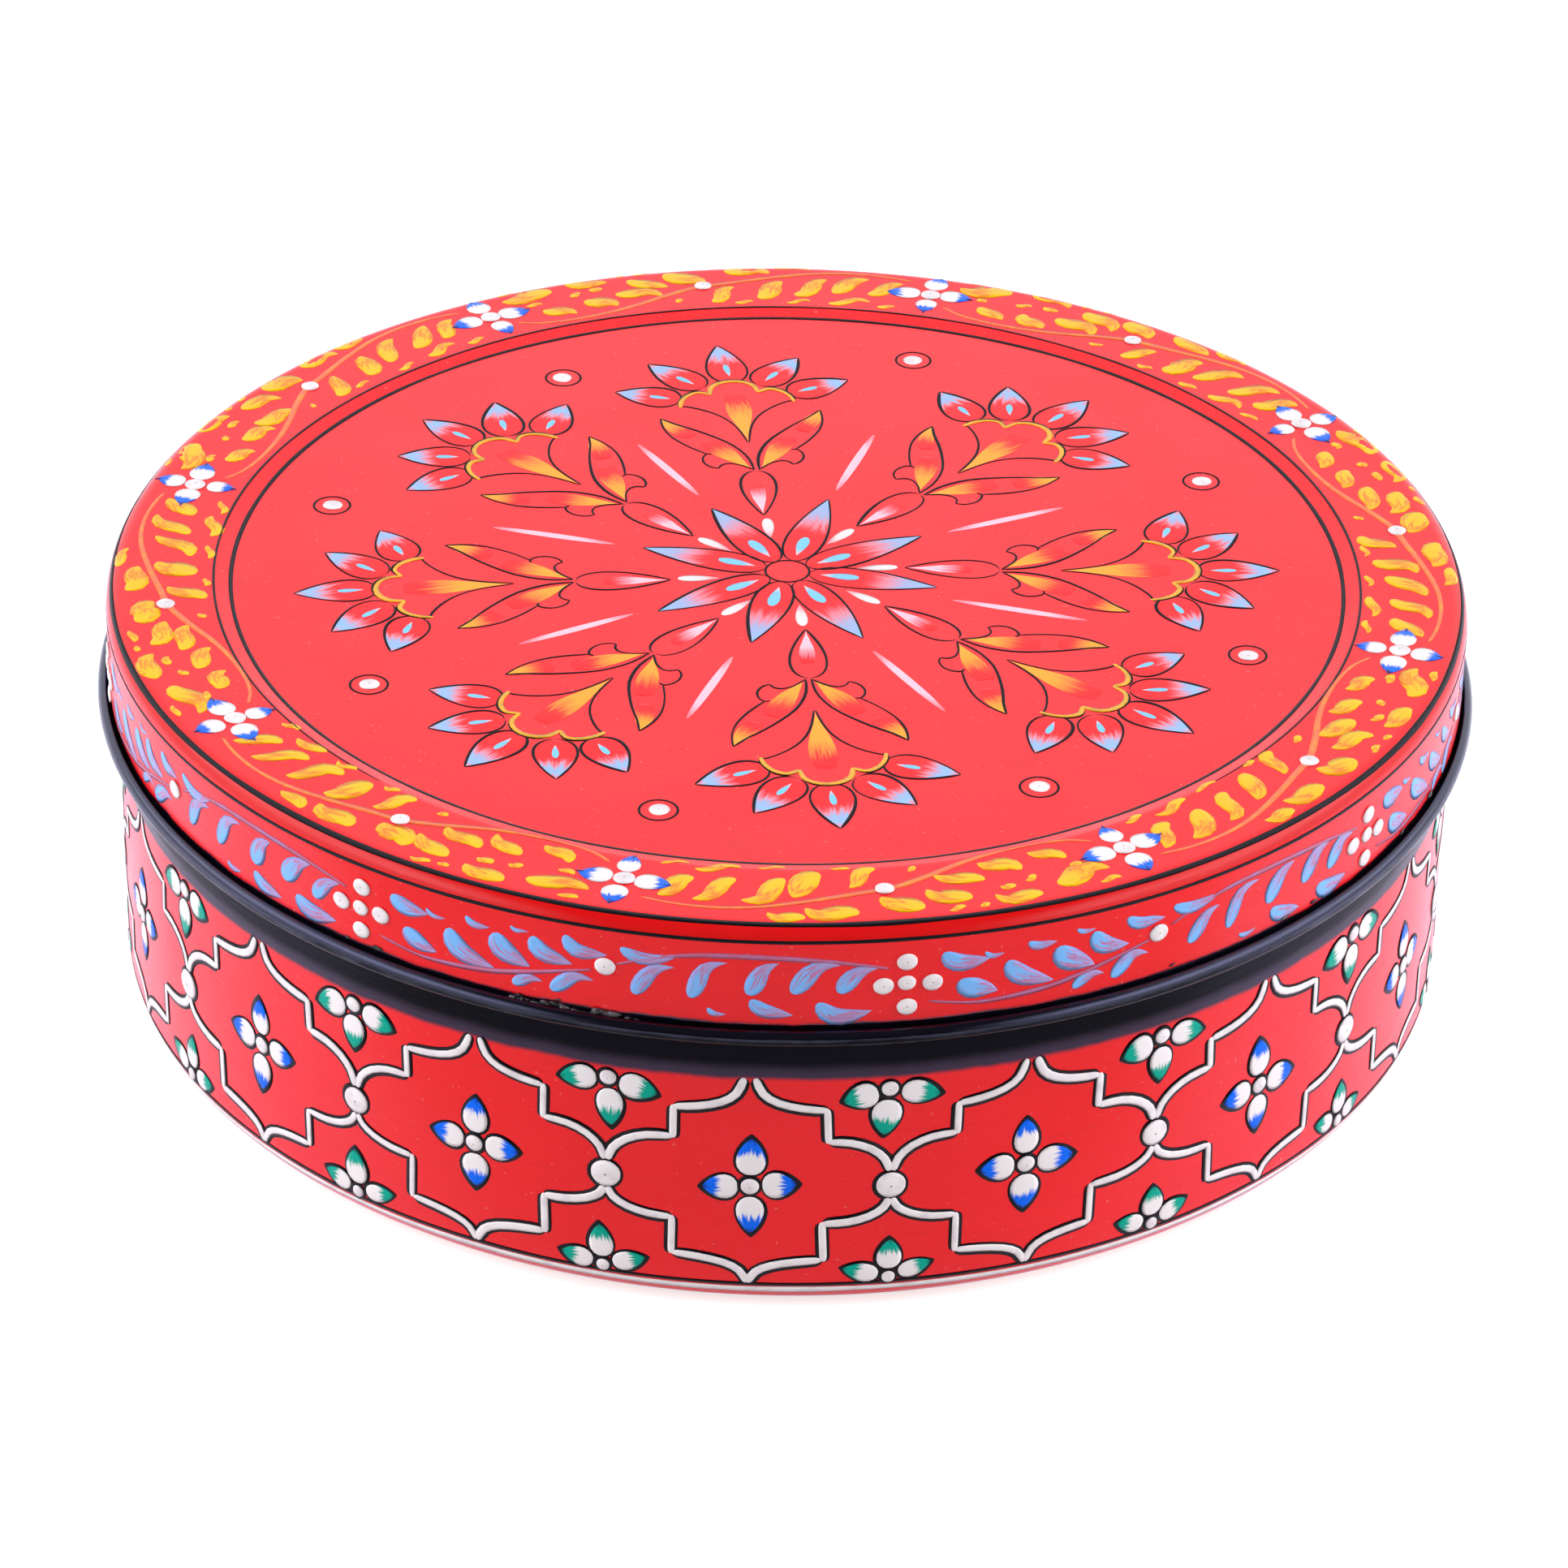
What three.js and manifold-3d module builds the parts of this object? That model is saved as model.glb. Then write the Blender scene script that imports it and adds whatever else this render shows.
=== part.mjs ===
// A round spice box of sheet steel: a straight-walled box, a slip-on lid, seven cups and a spoon.
// Millimetres, +Z up. The origin is the centre of the base, on the surface that the box stands on.
import * as THREE from "three";
import { mergeVertices } from "three/addons/utils/BufferGeometryUtils.js";
import Module from "manifold-3d";

// Box and lid
const SHEET = 0.7; // thickness of the sheet that the box and the lid are pressed from
const BOX_RADIUS = 100.2; // outside of the wall
const BOX_HEIGHT = 63.1; // from the table to the top of the hemmed rim
const BASE_CORNER = 5; // outer radius between base and wall
const RIM_HEM_HOLLOW = 0.6; // radius inside the rim's hem, which is curled inwards
const RIM_HEM_SWEEP = 250; // degrees that the hem curls through
const LID_CLEARANCE = 0.6; // between the box's wall and the lid's skirt
const SEAT_GAP = 0.3; // between two pieces where one rests on the other
const LID_HEIGHT = 18.2; // from the lid's border down to the underside of its bead
const LID_SHOULDER = 2.8; // outer radius between border and skirt
const LID_BORDER = 16.1; // width of the raised border, from the skirt to the step
const LID_STEP_WIDTH = 2.4; // width of the slope down to the middle panel
const LID_STEP_DEPTH = 0.8; // how far the middle panel lies below the border
const LID_BEAD_HOLLOW = 0.55; // radius inside the bead, which is curled outwards
const LID_BEAD_SWEEP = 275; // degrees that the bead curls through

// Cups
const RING_CUPS = 6; // cups around the middle one
const CUP_CLEARANCE = 0.6; // between neighbouring cups, and between the cups and the box's mouth
const CUP_HEADROOM = 15; // from the cups' rims up to the box's rim, for the spoon
const CUP_SHEET = 0.6;
const CUP_TAPER = 3.2; // how much wider the wall is at its top than at its foot
const CUP_CORNER = 4; // outer radius between foot and wall
const CUP_ROLL = 0.5; // how much thicker than the sheet the rolled rim's radius is

// Spoon
const SPOON_LENGTH = 125;
const SPOON_BOWL_LENGTH = 36;
const SPOON_BOWL_WIDTH = 27;
const SPOON_BOWL_DEPTH = 7.6;
const SPOON_BOWL_WALL = 1.2;
const SPOON_HANDLE_THICKNESS = 1.6;
const SPOON_HANDLE_WIDTH = 10; // at its round end
const SPOON_NECK_WIDTH = 5.4; // where the handle leaves the bowl
const SPOON_UPTURN = 2; // how far the handle's end rises
const SPOON_UPTURN_LENGTH = 34;
const SPOON_BOWL_CLEARANCE = 2.6; // from the bowl to the rim of the cup that it hangs in

// Fineness of the round shapes
const SHELL_SEGMENTS = 60;
const CUP_SEGMENTS = 24;
const BOWL_SEGMENTS = 20;
const CORNER_STEPS = 4;
const SHOULDER_STEPS = 5;
const CURL_STEPS = 8;
const CUP_CORNER_STEPS = 2;
const CUP_BEAD_STEPS = 4;
const BOWL_STEPS = 5;
const CURVE_STEPS = 6;
const CUT_MARGIN = 1; // how far a cutting shape reaches past what it cuts

// Places that follow from the sizes above
const rimHem = RIM_HEM_HOLLOW + SHEET;
const rimHemRadius = BOX_RADIUS - rimHem;
const rimHemHeight = BOX_HEIGHT - rimHem;
const mouthRadius = BOX_RADIUS - 2 * rimHem;
const lidRadius = BOX_RADIUS + LID_CLEARANCE + SHEET;

// The lid comes to rest where the inside of its shoulder meets the round of the box's rim.
const shoulderRoom = Math.max(LID_SHOULDER - SHEET - SEAT_GAP - rimHem, 0);
const shoulderOffset = shoulderRoom - (LID_CLEARANCE - SEAT_GAP);
const rimNesting = Math.sqrt(Math.max(shoulderRoom ** 2 - shoulderOffset ** 2, 0));
const lidTop = rimHemHeight + shoulderRoom + rimHem + SEAT_GAP + SHEET - rimNesting;

// The cups are alike and as wide as the box's mouth allows, abreast across it and side by side in the ring.
const ringChord = 2 * Math.sin(Math.PI / RING_CUPS); // between neighbours in the ring, for a pitch of 1
const widestAbreast = (mouthRadius - 2 * CUP_CLEARANCE) / 3;
const widestInRing = ((mouthRadius - CUP_CLEARANCE) * ringChord - CUP_CLEARANCE) / (2 + ringChord);
const cupRadius = Math.min(widestAbreast, widestInRing);
const cupPitch = mouthRadius - CUP_CLEARANCE - cupRadius;
const cupBottom = SHEET + SEAT_GAP;
const cupTop = BOX_HEIGHT - CUP_HEADROOM;
const cupHeight = cupTop - cupBottom;
const cupBead = CUP_SHEET + CUP_ROLL;
const cupMouthRadius = cupRadius - 2 * cupBead;

const wasm = await Module();
wasm.setup();

const redEnamel = new THREE.MeshStandardMaterial({ color: 0xd8262f, roughness: 0.28, metalness: 0 });
const bareSteel = new THREE.MeshStandardMaterial({ color: 0xc4c7ca, roughness: 0.3, metalness: 1 });

// Points along an arc in a profile, with angles in degrees and both ends included.
function arc(centreX, centreY, radius, from, to, steps) {
  return Array.from({ length: steps + 1 }, (_, i) => {
    const angle = THREE.MathUtils.degToRad(from + ((to - from) * i) / steps);
    return new THREE.Vector2(centreX + radius * Math.cos(angle), centreY + radius * Math.sin(angle));
  });
}

// Closed outline of a bent sheet: one face follows the path, the other lies to its left by the thickness,
// or to its right where the thickness is negative.
function sheetOutline(path, thickness) {
  const otherFace = path.map((point, i) => {
    const into = point.clone().sub(path[Math.max(i - 1, 0)]).normalize();
    const out = path[Math.min(i + 1, path.length - 1)].clone().sub(point).normalize();
    const along = into.add(out).normalize();
    const spread = i > 0 && i < path.length - 1 ? along.dot(out) : 1;
    return new THREE.Vector2(-along.y, along.x).multiplyScalar(thickness / spread).add(point);
  });
  return [...path, ...otherFace.reverse(), path[0].clone()];
}

// Solid of revolution about +Z from an outline of radius and height.
function turned(outline, segments) {
  return new THREE.LatheGeometry(outline, segments).rotateX(Math.PI / 2);
}

// A closed three.js geometry as a solid that can be joined and cut.
function solid(geometry) {
  const bare = new THREE.BufferGeometry().setAttribute("position", geometry.getAttribute("position"));
  bare.setIndex(geometry.index);
  const merged = mergeVertices(bare, 1e-3);
  return new wasm.Manifold(
    new wasm.Mesh({
      numProp: 3,
      vertProperties: merged.getAttribute("position").array,
      triVerts: new Uint32Array(merged.index.array),
    }),
  );
}

// A solid as a three.js geometry again.
function geometryOf(body) {
  const mesh = body.getMesh();
  return new THREE.BufferGeometry()
    .setAttribute("position", new THREE.BufferAttribute(mesh.vertProperties, 3))
    .setIndex(new THREE.BufferAttribute(mesh.triVerts, 1));
}

// The box: a flat base, a round corner, a straight wall and a rim that is hemmed inwards.
function boxShell() {
  const path = [
    new THREE.Vector2(0, 0),
    ...arc(BOX_RADIUS - BASE_CORNER, BASE_CORNER, BASE_CORNER, -90, 0, CORNER_STEPS),
    ...arc(rimHemRadius, rimHemHeight, rimHem, 0, RIM_HEM_SWEEP, CURL_STEPS),
  ];
  return turned(sheetOutline(path, SHEET), SHELL_SEGMENTS);
}

// The lid: a sunk middle panel, a flat border, a round shoulder, and a skirt that ends in a curled bead.
function lidShell() {
  const stepRadius = lidRadius - LID_BORDER;
  const shoulderCentre = lidRadius - LID_SHOULDER;
  const beadCentre = lidRadius + LID_BEAD_HOLLOW;
  const beadHeight = lidTop - LID_HEIGHT + LID_BEAD_HOLLOW + SHEET;
  const path = [
    new THREE.Vector2(0, lidTop - LID_STEP_DEPTH),
    new THREE.Vector2(stepRadius - LID_STEP_WIDTH, lidTop - LID_STEP_DEPTH),
    new THREE.Vector2(stepRadius, lidTop),
    ...arc(shoulderCentre, lidTop - LID_SHOULDER, LID_SHOULDER, 90, 0, SHOULDER_STEPS),
    ...arc(beadCentre, beadHeight, LID_BEAD_HOLLOW, 180, 180 + LID_BEAD_SWEEP, CURL_STEPS),
  ];
  return turned(sheetOutline(path, -SHEET).reverse(), SHELL_SEGMENTS);
}

// A cup: a flat foot, a round corner, a wall that widens upwards and a rolled rim.
function cup() {
  const footInside = cupMouthRadius - CUP_TAPER;
  const cornerCentre = footInside + CUP_SHEET - CUP_CORNER;
  const wallUnderBead = cupMouthRadius + CUP_SHEET;
  const outline = [
    new THREE.Vector2(0, 0),
    ...arc(cornerCentre, CUP_CORNER, CUP_CORNER, -90, 0, CUP_CORNER_STEPS),
    new THREE.Vector2(wallUnderBead, cupHeight - 2 * cupBead),
    ...arc(cupMouthRadius + cupBead, cupHeight - cupBead, cupBead, -90, 180, CUP_BEAD_STEPS),
    ...arc(cornerCentre, CUP_CORNER, CUP_CORNER - CUP_SHEET, 0, -90, CUP_CORNER_STEPS),
    new THREE.Vector2(0, CUP_SHEET),
  ];
  return turned(outline, CUP_SEGMENTS);
}

// The spoon along +X: its bowl ends at x = 0, where the handle begins, and the handle's top is at z = 0.
function spoon() {
  const handleLength = SPOON_LENGTH - SPOON_BOWL_LENGTH;
  const root = -SPOON_BOWL_LENGTH / 2;
  const halfEnd = SPOON_HANDLE_WIDTH / 2;
  const halfNeck = SPOON_NECK_WIDTH / 2;

  const side = new THREE.Shape();
  const bendStart = handleLength - SPOON_UPTURN_LENGTH;
  const bendMiddle = handleLength - SPOON_UPTURN_LENGTH / 2;
  side.moveTo(root, -SPOON_HANDLE_THICKNESS);
  side.lineTo(bendStart, -SPOON_HANDLE_THICKNESS);
  side.quadraticCurveTo(
    bendMiddle,
    -SPOON_HANDLE_THICKNESS,
    handleLength,
    SPOON_UPTURN - SPOON_HANDLE_THICKNESS,
  );
  side.lineTo(handleLength, SPOON_UPTURN);
  side.quadraticCurveTo(bendMiddle, 0, bendStart, 0);
  side.lineTo(root, 0);
  const sideBody = new THREE.ExtrudeGeometry(side, {
    depth: SPOON_HANDLE_WIDTH + 2 * CUT_MARGIN,
    bevelEnabled: false,
    curveSegments: CURVE_STEPS,
  });
  sideBody.translate(0, 0, -halfEnd - CUT_MARGIN).rotateX(Math.PI / 2);

  const plan = new THREE.Shape();
  plan.moveTo(root, -halfNeck);
  plan.lineTo(handleLength - halfEnd, -halfEnd);
  plan.absarc(handleLength - halfEnd, 0, halfEnd, -Math.PI / 2, Math.PI / 2, false);
  plan.lineTo(root, halfNeck);
  const planBody = new THREE.ExtrudeGeometry(plan, {
    depth: SPOON_UPTURN + SPOON_HANDLE_THICKNESS + 2 * CUT_MARGIN,
    bevelEnabled: false,
    curveSegments: CURVE_STEPS,
  });
  planBody.translate(0, 0, -SPOON_HANDLE_THICKNESS - CUT_MARGIN);

  const bowlRadius = SPOON_BOWL_WIDTH / 2;
  const halfBowl = (inset, rise) => {
    const curve = arc(0, 0, 1, -90, 0, BOWL_STEPS).map(
      (p) => new THREE.Vector2(p.x * (bowlRadius - inset), p.y * (SPOON_BOWL_DEPTH - inset)),
    );
    const riser = rise > 0 ? [new THREE.Vector2(bowlRadius - inset, rise)] : [];
    const body = turned([...curve, ...riser, new THREE.Vector2(0, rise)], BOWL_SEGMENTS);
    const halfLength = SPOON_BOWL_LENGTH / 2 - inset;
    return body.scale(halfLength / (bowlRadius - inset), 1, 1).translate(-SPOON_BOWL_LENGTH / 2, 0, 0);
  };

  const handle = solid(sideBody).intersect(solid(planBody));
  const hollow = solid(halfBowl(SPOON_BOWL_WALL, CUT_MARGIN));
  return geometryOf(solid(halfBowl(0, 0)).add(handle).subtract(hollow));
}

function named(name, geometry, material) {
  const mesh = new THREE.Mesh(geometry, material);
  mesh.name = name;
  return mesh;
}

const spiceBox = new THREE.Group();
spiceBox.add(named("box_shell", boxShell(), redEnamel));
spiceBox.add(named("lid_shell", lidShell(), redEnamel));

const cups = new THREE.Group();
cups.position.z = cupBottom;
cups.add(named("cup_centre", cup(), bareSteel));
for (let i = 0; i < RING_CUPS; i++) {
  const angle = (2 * Math.PI * i) / RING_CUPS;
  const ringCup = named(`cup_${i + 1}`, cup(), bareSteel);
  ringCup.position.set(cupPitch * Math.cos(angle), cupPitch * Math.sin(angle), 0);
  cups.add(ringCup);
}
spiceBox.add(cups);

// The spoon lies across the middle cup, with its bowl hanging in the cup at -X.
const spoonMesh = named("spoon", spoon(), bareSteel);
spoonMesh.position.set(
  cupMouthRadius - cupPitch - SPOON_BOWL_CLEARANCE,
  0,
  cupTop + SEAT_GAP + SPOON_HANDLE_THICKNESS,
);
spiceBox.add(spoonMesh);

export default spiceBox;
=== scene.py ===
"""A hand-painted round spice box in enamelled steel, with seven steel cups and a spoon inside.

Profiles and patterns are drawn in millimetres and laid on the steel.
The scene is in metres, in the part's frame.
"""
import random
from math import asin, copysign, cos, pi, radians, sin, sqrt, tau

import bmesh
import bpy
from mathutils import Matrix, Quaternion, Vector, noise


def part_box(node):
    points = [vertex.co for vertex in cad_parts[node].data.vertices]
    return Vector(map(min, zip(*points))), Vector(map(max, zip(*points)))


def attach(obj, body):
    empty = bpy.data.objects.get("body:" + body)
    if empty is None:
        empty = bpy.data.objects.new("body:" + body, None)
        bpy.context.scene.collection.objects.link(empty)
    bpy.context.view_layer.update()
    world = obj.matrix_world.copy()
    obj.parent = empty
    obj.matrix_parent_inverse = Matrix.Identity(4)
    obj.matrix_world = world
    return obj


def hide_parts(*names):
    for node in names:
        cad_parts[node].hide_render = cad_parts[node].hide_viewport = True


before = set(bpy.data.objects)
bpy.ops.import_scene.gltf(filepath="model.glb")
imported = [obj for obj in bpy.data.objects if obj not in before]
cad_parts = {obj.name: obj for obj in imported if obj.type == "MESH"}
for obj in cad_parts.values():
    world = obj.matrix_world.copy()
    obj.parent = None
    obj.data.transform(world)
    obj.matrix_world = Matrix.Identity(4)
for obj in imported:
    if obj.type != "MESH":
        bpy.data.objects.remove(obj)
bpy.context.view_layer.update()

MM = 0.001
PAINTER = random.Random(16)

# Sizes that the parts in model.glb give, in millimetres
BOX_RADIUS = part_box("box_shell")[1].x / MM
BOX_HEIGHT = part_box("box_shell")[1].z / MM
LID_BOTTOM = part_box("lid_shell")[0].z / MM
LID_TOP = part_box("lid_shell")[1].z / MM
CUP_RADIUS = (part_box("cup_centre")[1].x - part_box("cup_centre")[0].x) / 2 / MM
CUP_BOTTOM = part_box("cup_centre")[0].z / MM
CUP_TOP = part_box("cup_centre")[1].z / MM
SPOON_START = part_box("spoon")[0].x / MM
SPOON_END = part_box("spoon")[1].x / MM
SPOON_BOWL_WIDTH = 2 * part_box("spoon")[1].y / MM
SPOON_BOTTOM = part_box("spoon")[0].z / MM
SPOON_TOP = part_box("spoon")[1].z / MM

# Pressed steel, in millimetres and degrees
SHEET = 0.7
BASE_CORNER = 5.0
RIM_HEM = 1.3
RIM_HEM_SWEEP = 250
LID_CLEARANCE = 0.6
LID_RADIUS = BOX_RADIUS + LID_CLEARANCE + SHEET
LID_SHOULDER = 2.8
STEP_INSET = 16.1
STEP_RADIUS = LID_RADIUS - STEP_INSET
STEP_WIDTH = 2.4
STEP_DEPTH = 0.8
STEP_EASE = 0.6
BEAD_HOLLOW = 0.55
BEAD_SWEEP = 275
PANEL_RADIUS = STEP_RADIUS - STEP_WIDTH
PANEL_HEIGHT = LID_TOP - STEP_DEPTH
SHOULDER_RADIUS = LID_RADIUS - LID_SHOULDER
CUP_SHEET = 0.6
CUP_BEAD = 1.1
CUP_TAPER = 3.2
CUP_CORNER = 4.0
SPOON_BOWL_LENGTH = 36.0
SPOON_NECK = 5.4
SPOON_HANDLE = 10.0
SPOON_SHEET = 1.3
SPOON_UPTURN = 2.0
SPOON_UPTURN_LENGTH = 34.0
SPOON_CREASE = 0.5

# Fineness of the pieces
SHELL_STEPS = 192
CUP_STEPS = 72
RING_STEPS = 240
CORNER_POINTS = 10
HEM_POINTS = 18
SHOULDER_POINTS = 14
BEAD_POINTS = 18
CUP_CORNER_POINTS = 8
CUP_BEAD_POINTS = 16
SPOON_ALONG, SPOON_ACROSS = 110, 18
SUPPORT = 0.4
MERGE = 2e-6
SMALL = 0.01

# Thickness of the paint, in millimetres, and the share of it that is left at its edge
SINK = 0.12
FLAT_PAINT = 0.035
LINE_PAINT = 0.06
THICK_PAINT = 0.12
RAISED_PAINT = 0.16
DOT_PAINT = 0.42
PAINT_EDGE = 0.45

# Widths of thin lines, in millimetres, and the shares by which they are pressed unevenly
FINE_LINE = 0.36
SPOT_RING_LINE = 0.34
LINE_PRESS = 0.25
OUTLINE_PRESS = (0.8, 1.35)
# How far a line round the steel sways and how much its width varies, with how often they change
RING_SWAY = (0.12, 3.0)
RING_PRESS = (0.22, 9.0)


# Curves in a flat pattern

def bow(start, end, bend=0.0):
    """A curve from start to end that leans to its left by a share of its length."""
    start, end = Vector(start), Vector(end)
    run = end - start
    middle = (start + end) / 2 + Vector((-run.y, run.x)) * bend
    return lambda share: (
        start * (1 - share) ** 2 + middle * 2 * share * (1 - share) + end * share**2
    )


def swash(start, end, bend, wave):
    """A curve like a bow that also swings to one side and then to the other."""
    base = bow(start, end, bend)
    run = Vector(end) - Vector(start)
    swing = Vector((-run.y, run.x)) * wave
    return lambda share: base(share) + swing * sin(tau * share)


def through(points):
    """A smooth curve through points."""
    points = [Vector(point) for point in points]
    spans = len(points) - 1

    def curve(share):
        span = min(int(share * spans), spans - 1)
        step = share * spans - span
        a, b = points[max(span - 1, 0)], points[span]
        c, d = points[span + 1], points[min(span + 2, spans)]
        return (
            b
            + (c - a) * (step / 2)
            + (a * 2 - b * 5 + c * 4 - d) * (step**2 / 2)
            + (b * 3 - a - c * 3 + d) * (step**3 / 2)
        )

    return curve


def sideways(curve, share):
    """The direction to the left of a curve."""
    ahead = curve(min(share + SMALL, 1.0)) - curve(max(share - SMALL, 0.0))
    return Vector((-ahead.y, ahead.x)).normalized()


# Widths of a brush stroke along its length, as a share of the greatest

def swelling(rise, fall, top):
    """A width that swells from nothing and falls to nothing again."""
    return lambda share: top * share**rise * (1 - share) ** fall


petal_width = swelling(0.5, 1.0, 2.6)
round_petal_width = swelling(0.5, 0.82, 2.35)
bud_width = swelling(0.5, 1.0, 2.444)
disc_width = swelling(0.5, 0.5, 2.0)
bean_width = swelling(0.55, 0.7, 2.3)
comma_width = swelling(0.5, 0.95, 2.5)


def lens_width(share):
    return sin(pi * share)


def ray_width(share):
    return lens_width(share) ** 0.45


def wedge_width(share):
    return 1.1 * sin(min(share / 0.8, 1.0) * pi / 2) ** 1.6 * (1 - share) ** 0.15


def stem_width(share):
    return 0.55 + 0.6 * lens_width(share) ** 2 if 0.0 < share < 1.0 else 0.0


def line_width(share):
    return (1 - min(abs(2 * share - 1), 1.0) ** 10) ** 0.5


def even_width(_share):
    return 1.0


# Places on the steel

def on_panel(x, y, lift):
    """On the lid's middle panel, seen from above."""
    return Vector((x, y, PANEL_HEIGHT + lift)) * MM


# The lid's edge as it was painted: along a circle, and nearer to the middle at the front
EDGE_RADIUS = 95.0
LEAN = 1.5
LEAN_LIMIT = 0.4
BORDER_WIDTH = SHOULDER_RADIUS - STEP_RADIUS
SHOULDER_LENGTH = LID_SHOULDER * pi / 2


def on_lid_edge(along, down, lift):
    """Round the lid, and from the step out over the border, the shoulder and the skirt."""
    angle = along / EDGE_RADIUS
    turn = min(max((down - BORDER_WIDTH) / LID_SHOULDER, 0.0), pi / 2)
    radius = SHOULDER_RADIUS + (LID_SHOULDER + lift) * sin(turn) + min(down - BORDER_WIDTH, 0.0)
    height = LID_TOP - LID_SHOULDER + (LID_SHOULDER + lift) * cos(turn)
    height -= max(down - BORDER_WIDTH - SHOULDER_LENGTH, 0.0)
    height -= STEP_DEPTH * min(max(-down, 0.0) / STEP_WIDTH, 1.0)
    return Vector((radius * cos(angle), radius * sin(angle), height)) * MM


def leaning(along, down, lift):
    """Round the lid's edge, leaning as it was painted."""
    return on_lid_edge(along, down + LEAN * min(sin(along / EDGE_RADIUS), LEAN_LIMIT), lift)


def on_wall(along, height, lift):
    """Round the box's wall at a height, and into the corner at its foot."""
    angle = along / BOX_RADIUS
    turn = asin(min(max(1 - height / BASE_CORNER, 0.0), 1.0))
    radius = BOX_RADIUS - BASE_CORNER + (BASE_CORNER + lift) * cos(turn)
    level = height - lift * sin(turn)
    return Vector((radius * cos(angle), radius * sin(angle), level)) * MM


# Paint laid on the steel

def mapped(bm, verts, spot):
    """Gives the faces of new vertices their place in the stroke as a UV map."""
    layer = bm.loops.layers.uv.get("stroke") or bm.loops.layers.uv.new("stroke")
    for face in {face for vert in verts for face in vert.link_faces}:
        face.smooth = True
        for corner in face.loops:
            corner[layer].uv = spot(corner.vert.co)


def stroke(bm, place, curve, width, shape, height, along=10, around=6, even=False, crisp=False):
    """One closed brush stroke along a curve: a grid, rolled into a flat tube and laid on the steel."""
    rolled = bmesh.ops.create_grid(bm, x_segments=along, y_segments=around, size=1)["verts"]

    def share_at(x):
        share = (x + 1) / 2
        return share if even else (1 - cos(pi * share)) / 2

    mapped(bm, rolled, lambda spot: (share_at(spot.x), (1 + cos(pi * spot.y)) / 2))
    if crisp:
        for edge in {edge for vert in rolled for edge in vert.link_edges}:
            edge.smooth = any(min(abs(v.co.y), 1 - abs(v.co.y)) > SMALL for v in edge.verts)
    rows = {}
    for vert in rolled:
        if vert.co.x not in rows:
            share = share_at(vert.co.x)
            half = width / 2 * max(shape(share), 0.0)
            fullness = min(half / height, 1.0) * (0.5 + 0.5 * shape(share))
            rows[vert.co.x] = (curve(share), sideways(curve, share) * half, fullness)
        middle, side, fullness = rows[vert.co.x]
        spot = middle + side * cos(pi * vert.co.y)
        bulge = sin(pi * vert.co.y)
        lift = height * (PAINT_EDGE + (1 - PAINT_EDGE) * bulge) if bulge > -SMALL else -SINK
        vert.co = place(spot.x, spot.y, lift * fullness)


def wander(amount):
    """How far the painter's hand is off."""
    return PAINTER.uniform(-amount, amount)


def near(point, along, across):
    """Where the painter's hand comes down near a point."""
    return Vector((point[0] + wander(along), point[1] + wander(across)))


def aside(point, across):
    """Where the painter's hand comes down beside a point."""
    return Vector((point[0], point[1] + wander(across)))


def dot(bm, place, middle, radius, height):
    """A round drop of paint."""
    x, y = middle
    across = bow((x - radius, y), (x + radius, y))
    stroke(bm, place, across, 2 * radius, disc_width, height, 10, 8)


def line(bm, place, curve, width=FINE_LINE, along=16, height=LINE_PAINT):
    """A thin brush line with round ends, pressed a little harder in places."""
    press = wander(LINE_PRESS)
    shape = lambda share: line_width(share) * (1 + press * sin(tau * share))
    stroke(bm, place, curve, width, shape, height, along, around=4)


def ring_around(bm, place, middle, radius):
    """A thin brush line round a spot."""
    x, y = middle
    around = lambda turn, out, lift: place(x + out * cos(turn), y + out * sin(turn), lift)
    circle = bow((0, radius), (tau, radius))
    stroke(bm, around, circle, SPOT_RING_LINE, even_width, LINE_PAINT, 28, 4, even=True)


def petal_outline(bm, place, root, tip, width, shape=petal_width):
    """Both sides of a petal, drawn from its root to its tip."""
    spine = bow(root, tip)
    for side in (-1, 1):
        edge = lambda share, side=side: spine(share) + sideways(spine, share) * (
            side * width / 2 * shape(share)
        )
        line(bm, place, edge, FINE_LINE * PAINTER.uniform(*OUTLINE_PRESS))


def ring_line(bm, place, girth, across, width, start=0.0, end=1.0):
    """A painted line round the steel, a little uneven, from one share of the way to another."""
    def unevenness(way, amount, often):
        around = Vector((cos(tau * way), sin(tau * way), across)) * often
        return amount * noise.noise(around)

    def curve(share):
        way = start + (end - start) * share
        return Vector((girth * way, across + unevenness(way, *RING_SWAY)))

    def shape(share):
        press = 1 + unevenness(start + (end - start) * share, *RING_PRESS)
        return press if end - start == 1.0 else press * lens_width(share) ** 0.25

    stroke(bm, place, curve, width, shape, LINE_PAINT, RING_STEPS, around=4, even=True)


# Materials

def colour(red, green, blue):
    """A colour as it looks on a screen, 0 to 255, in Blender's linear values."""
    return (*(((c / 255 + 0.055) / 1.055) ** 2.4 for c in (red, green, blue)), 1.0)


DAYLIGHT = (1.0, 1.0, 1.0, 1.0)
RED = colour(234, 4, 18)
RED_LIGHT = colour(240, 6, 22)
RED_DEEP = colour(214, 3, 14)
# painted shade: the deeper red round the lid's shoulder
RED_SHOULDER_SHADE = colour(210, 2, 5)
RED_SPECK = colour(240, 120, 120)
BLACK = colour(9, 7, 15)
BLACK_WORN = colour(20, 14, 20)
# painted shade: black where shade falls under the lid's bead and on the bead's lower half
BLACK_PAINTED_SHADE = colour(2, 1, 4)
# painted sheen: a blue-grey reflection on the lower edge of the box's black band
BLACK_PAINTED_SHEEN = colour(58, 44, 62)
COOL_GLOSS = colour(205, 208, 255)
CRUST_GREY = colour(92, 86, 90)
WHITE = colour(238, 232, 236)
WHITE_SHADE = colour(222, 213, 219)
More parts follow.
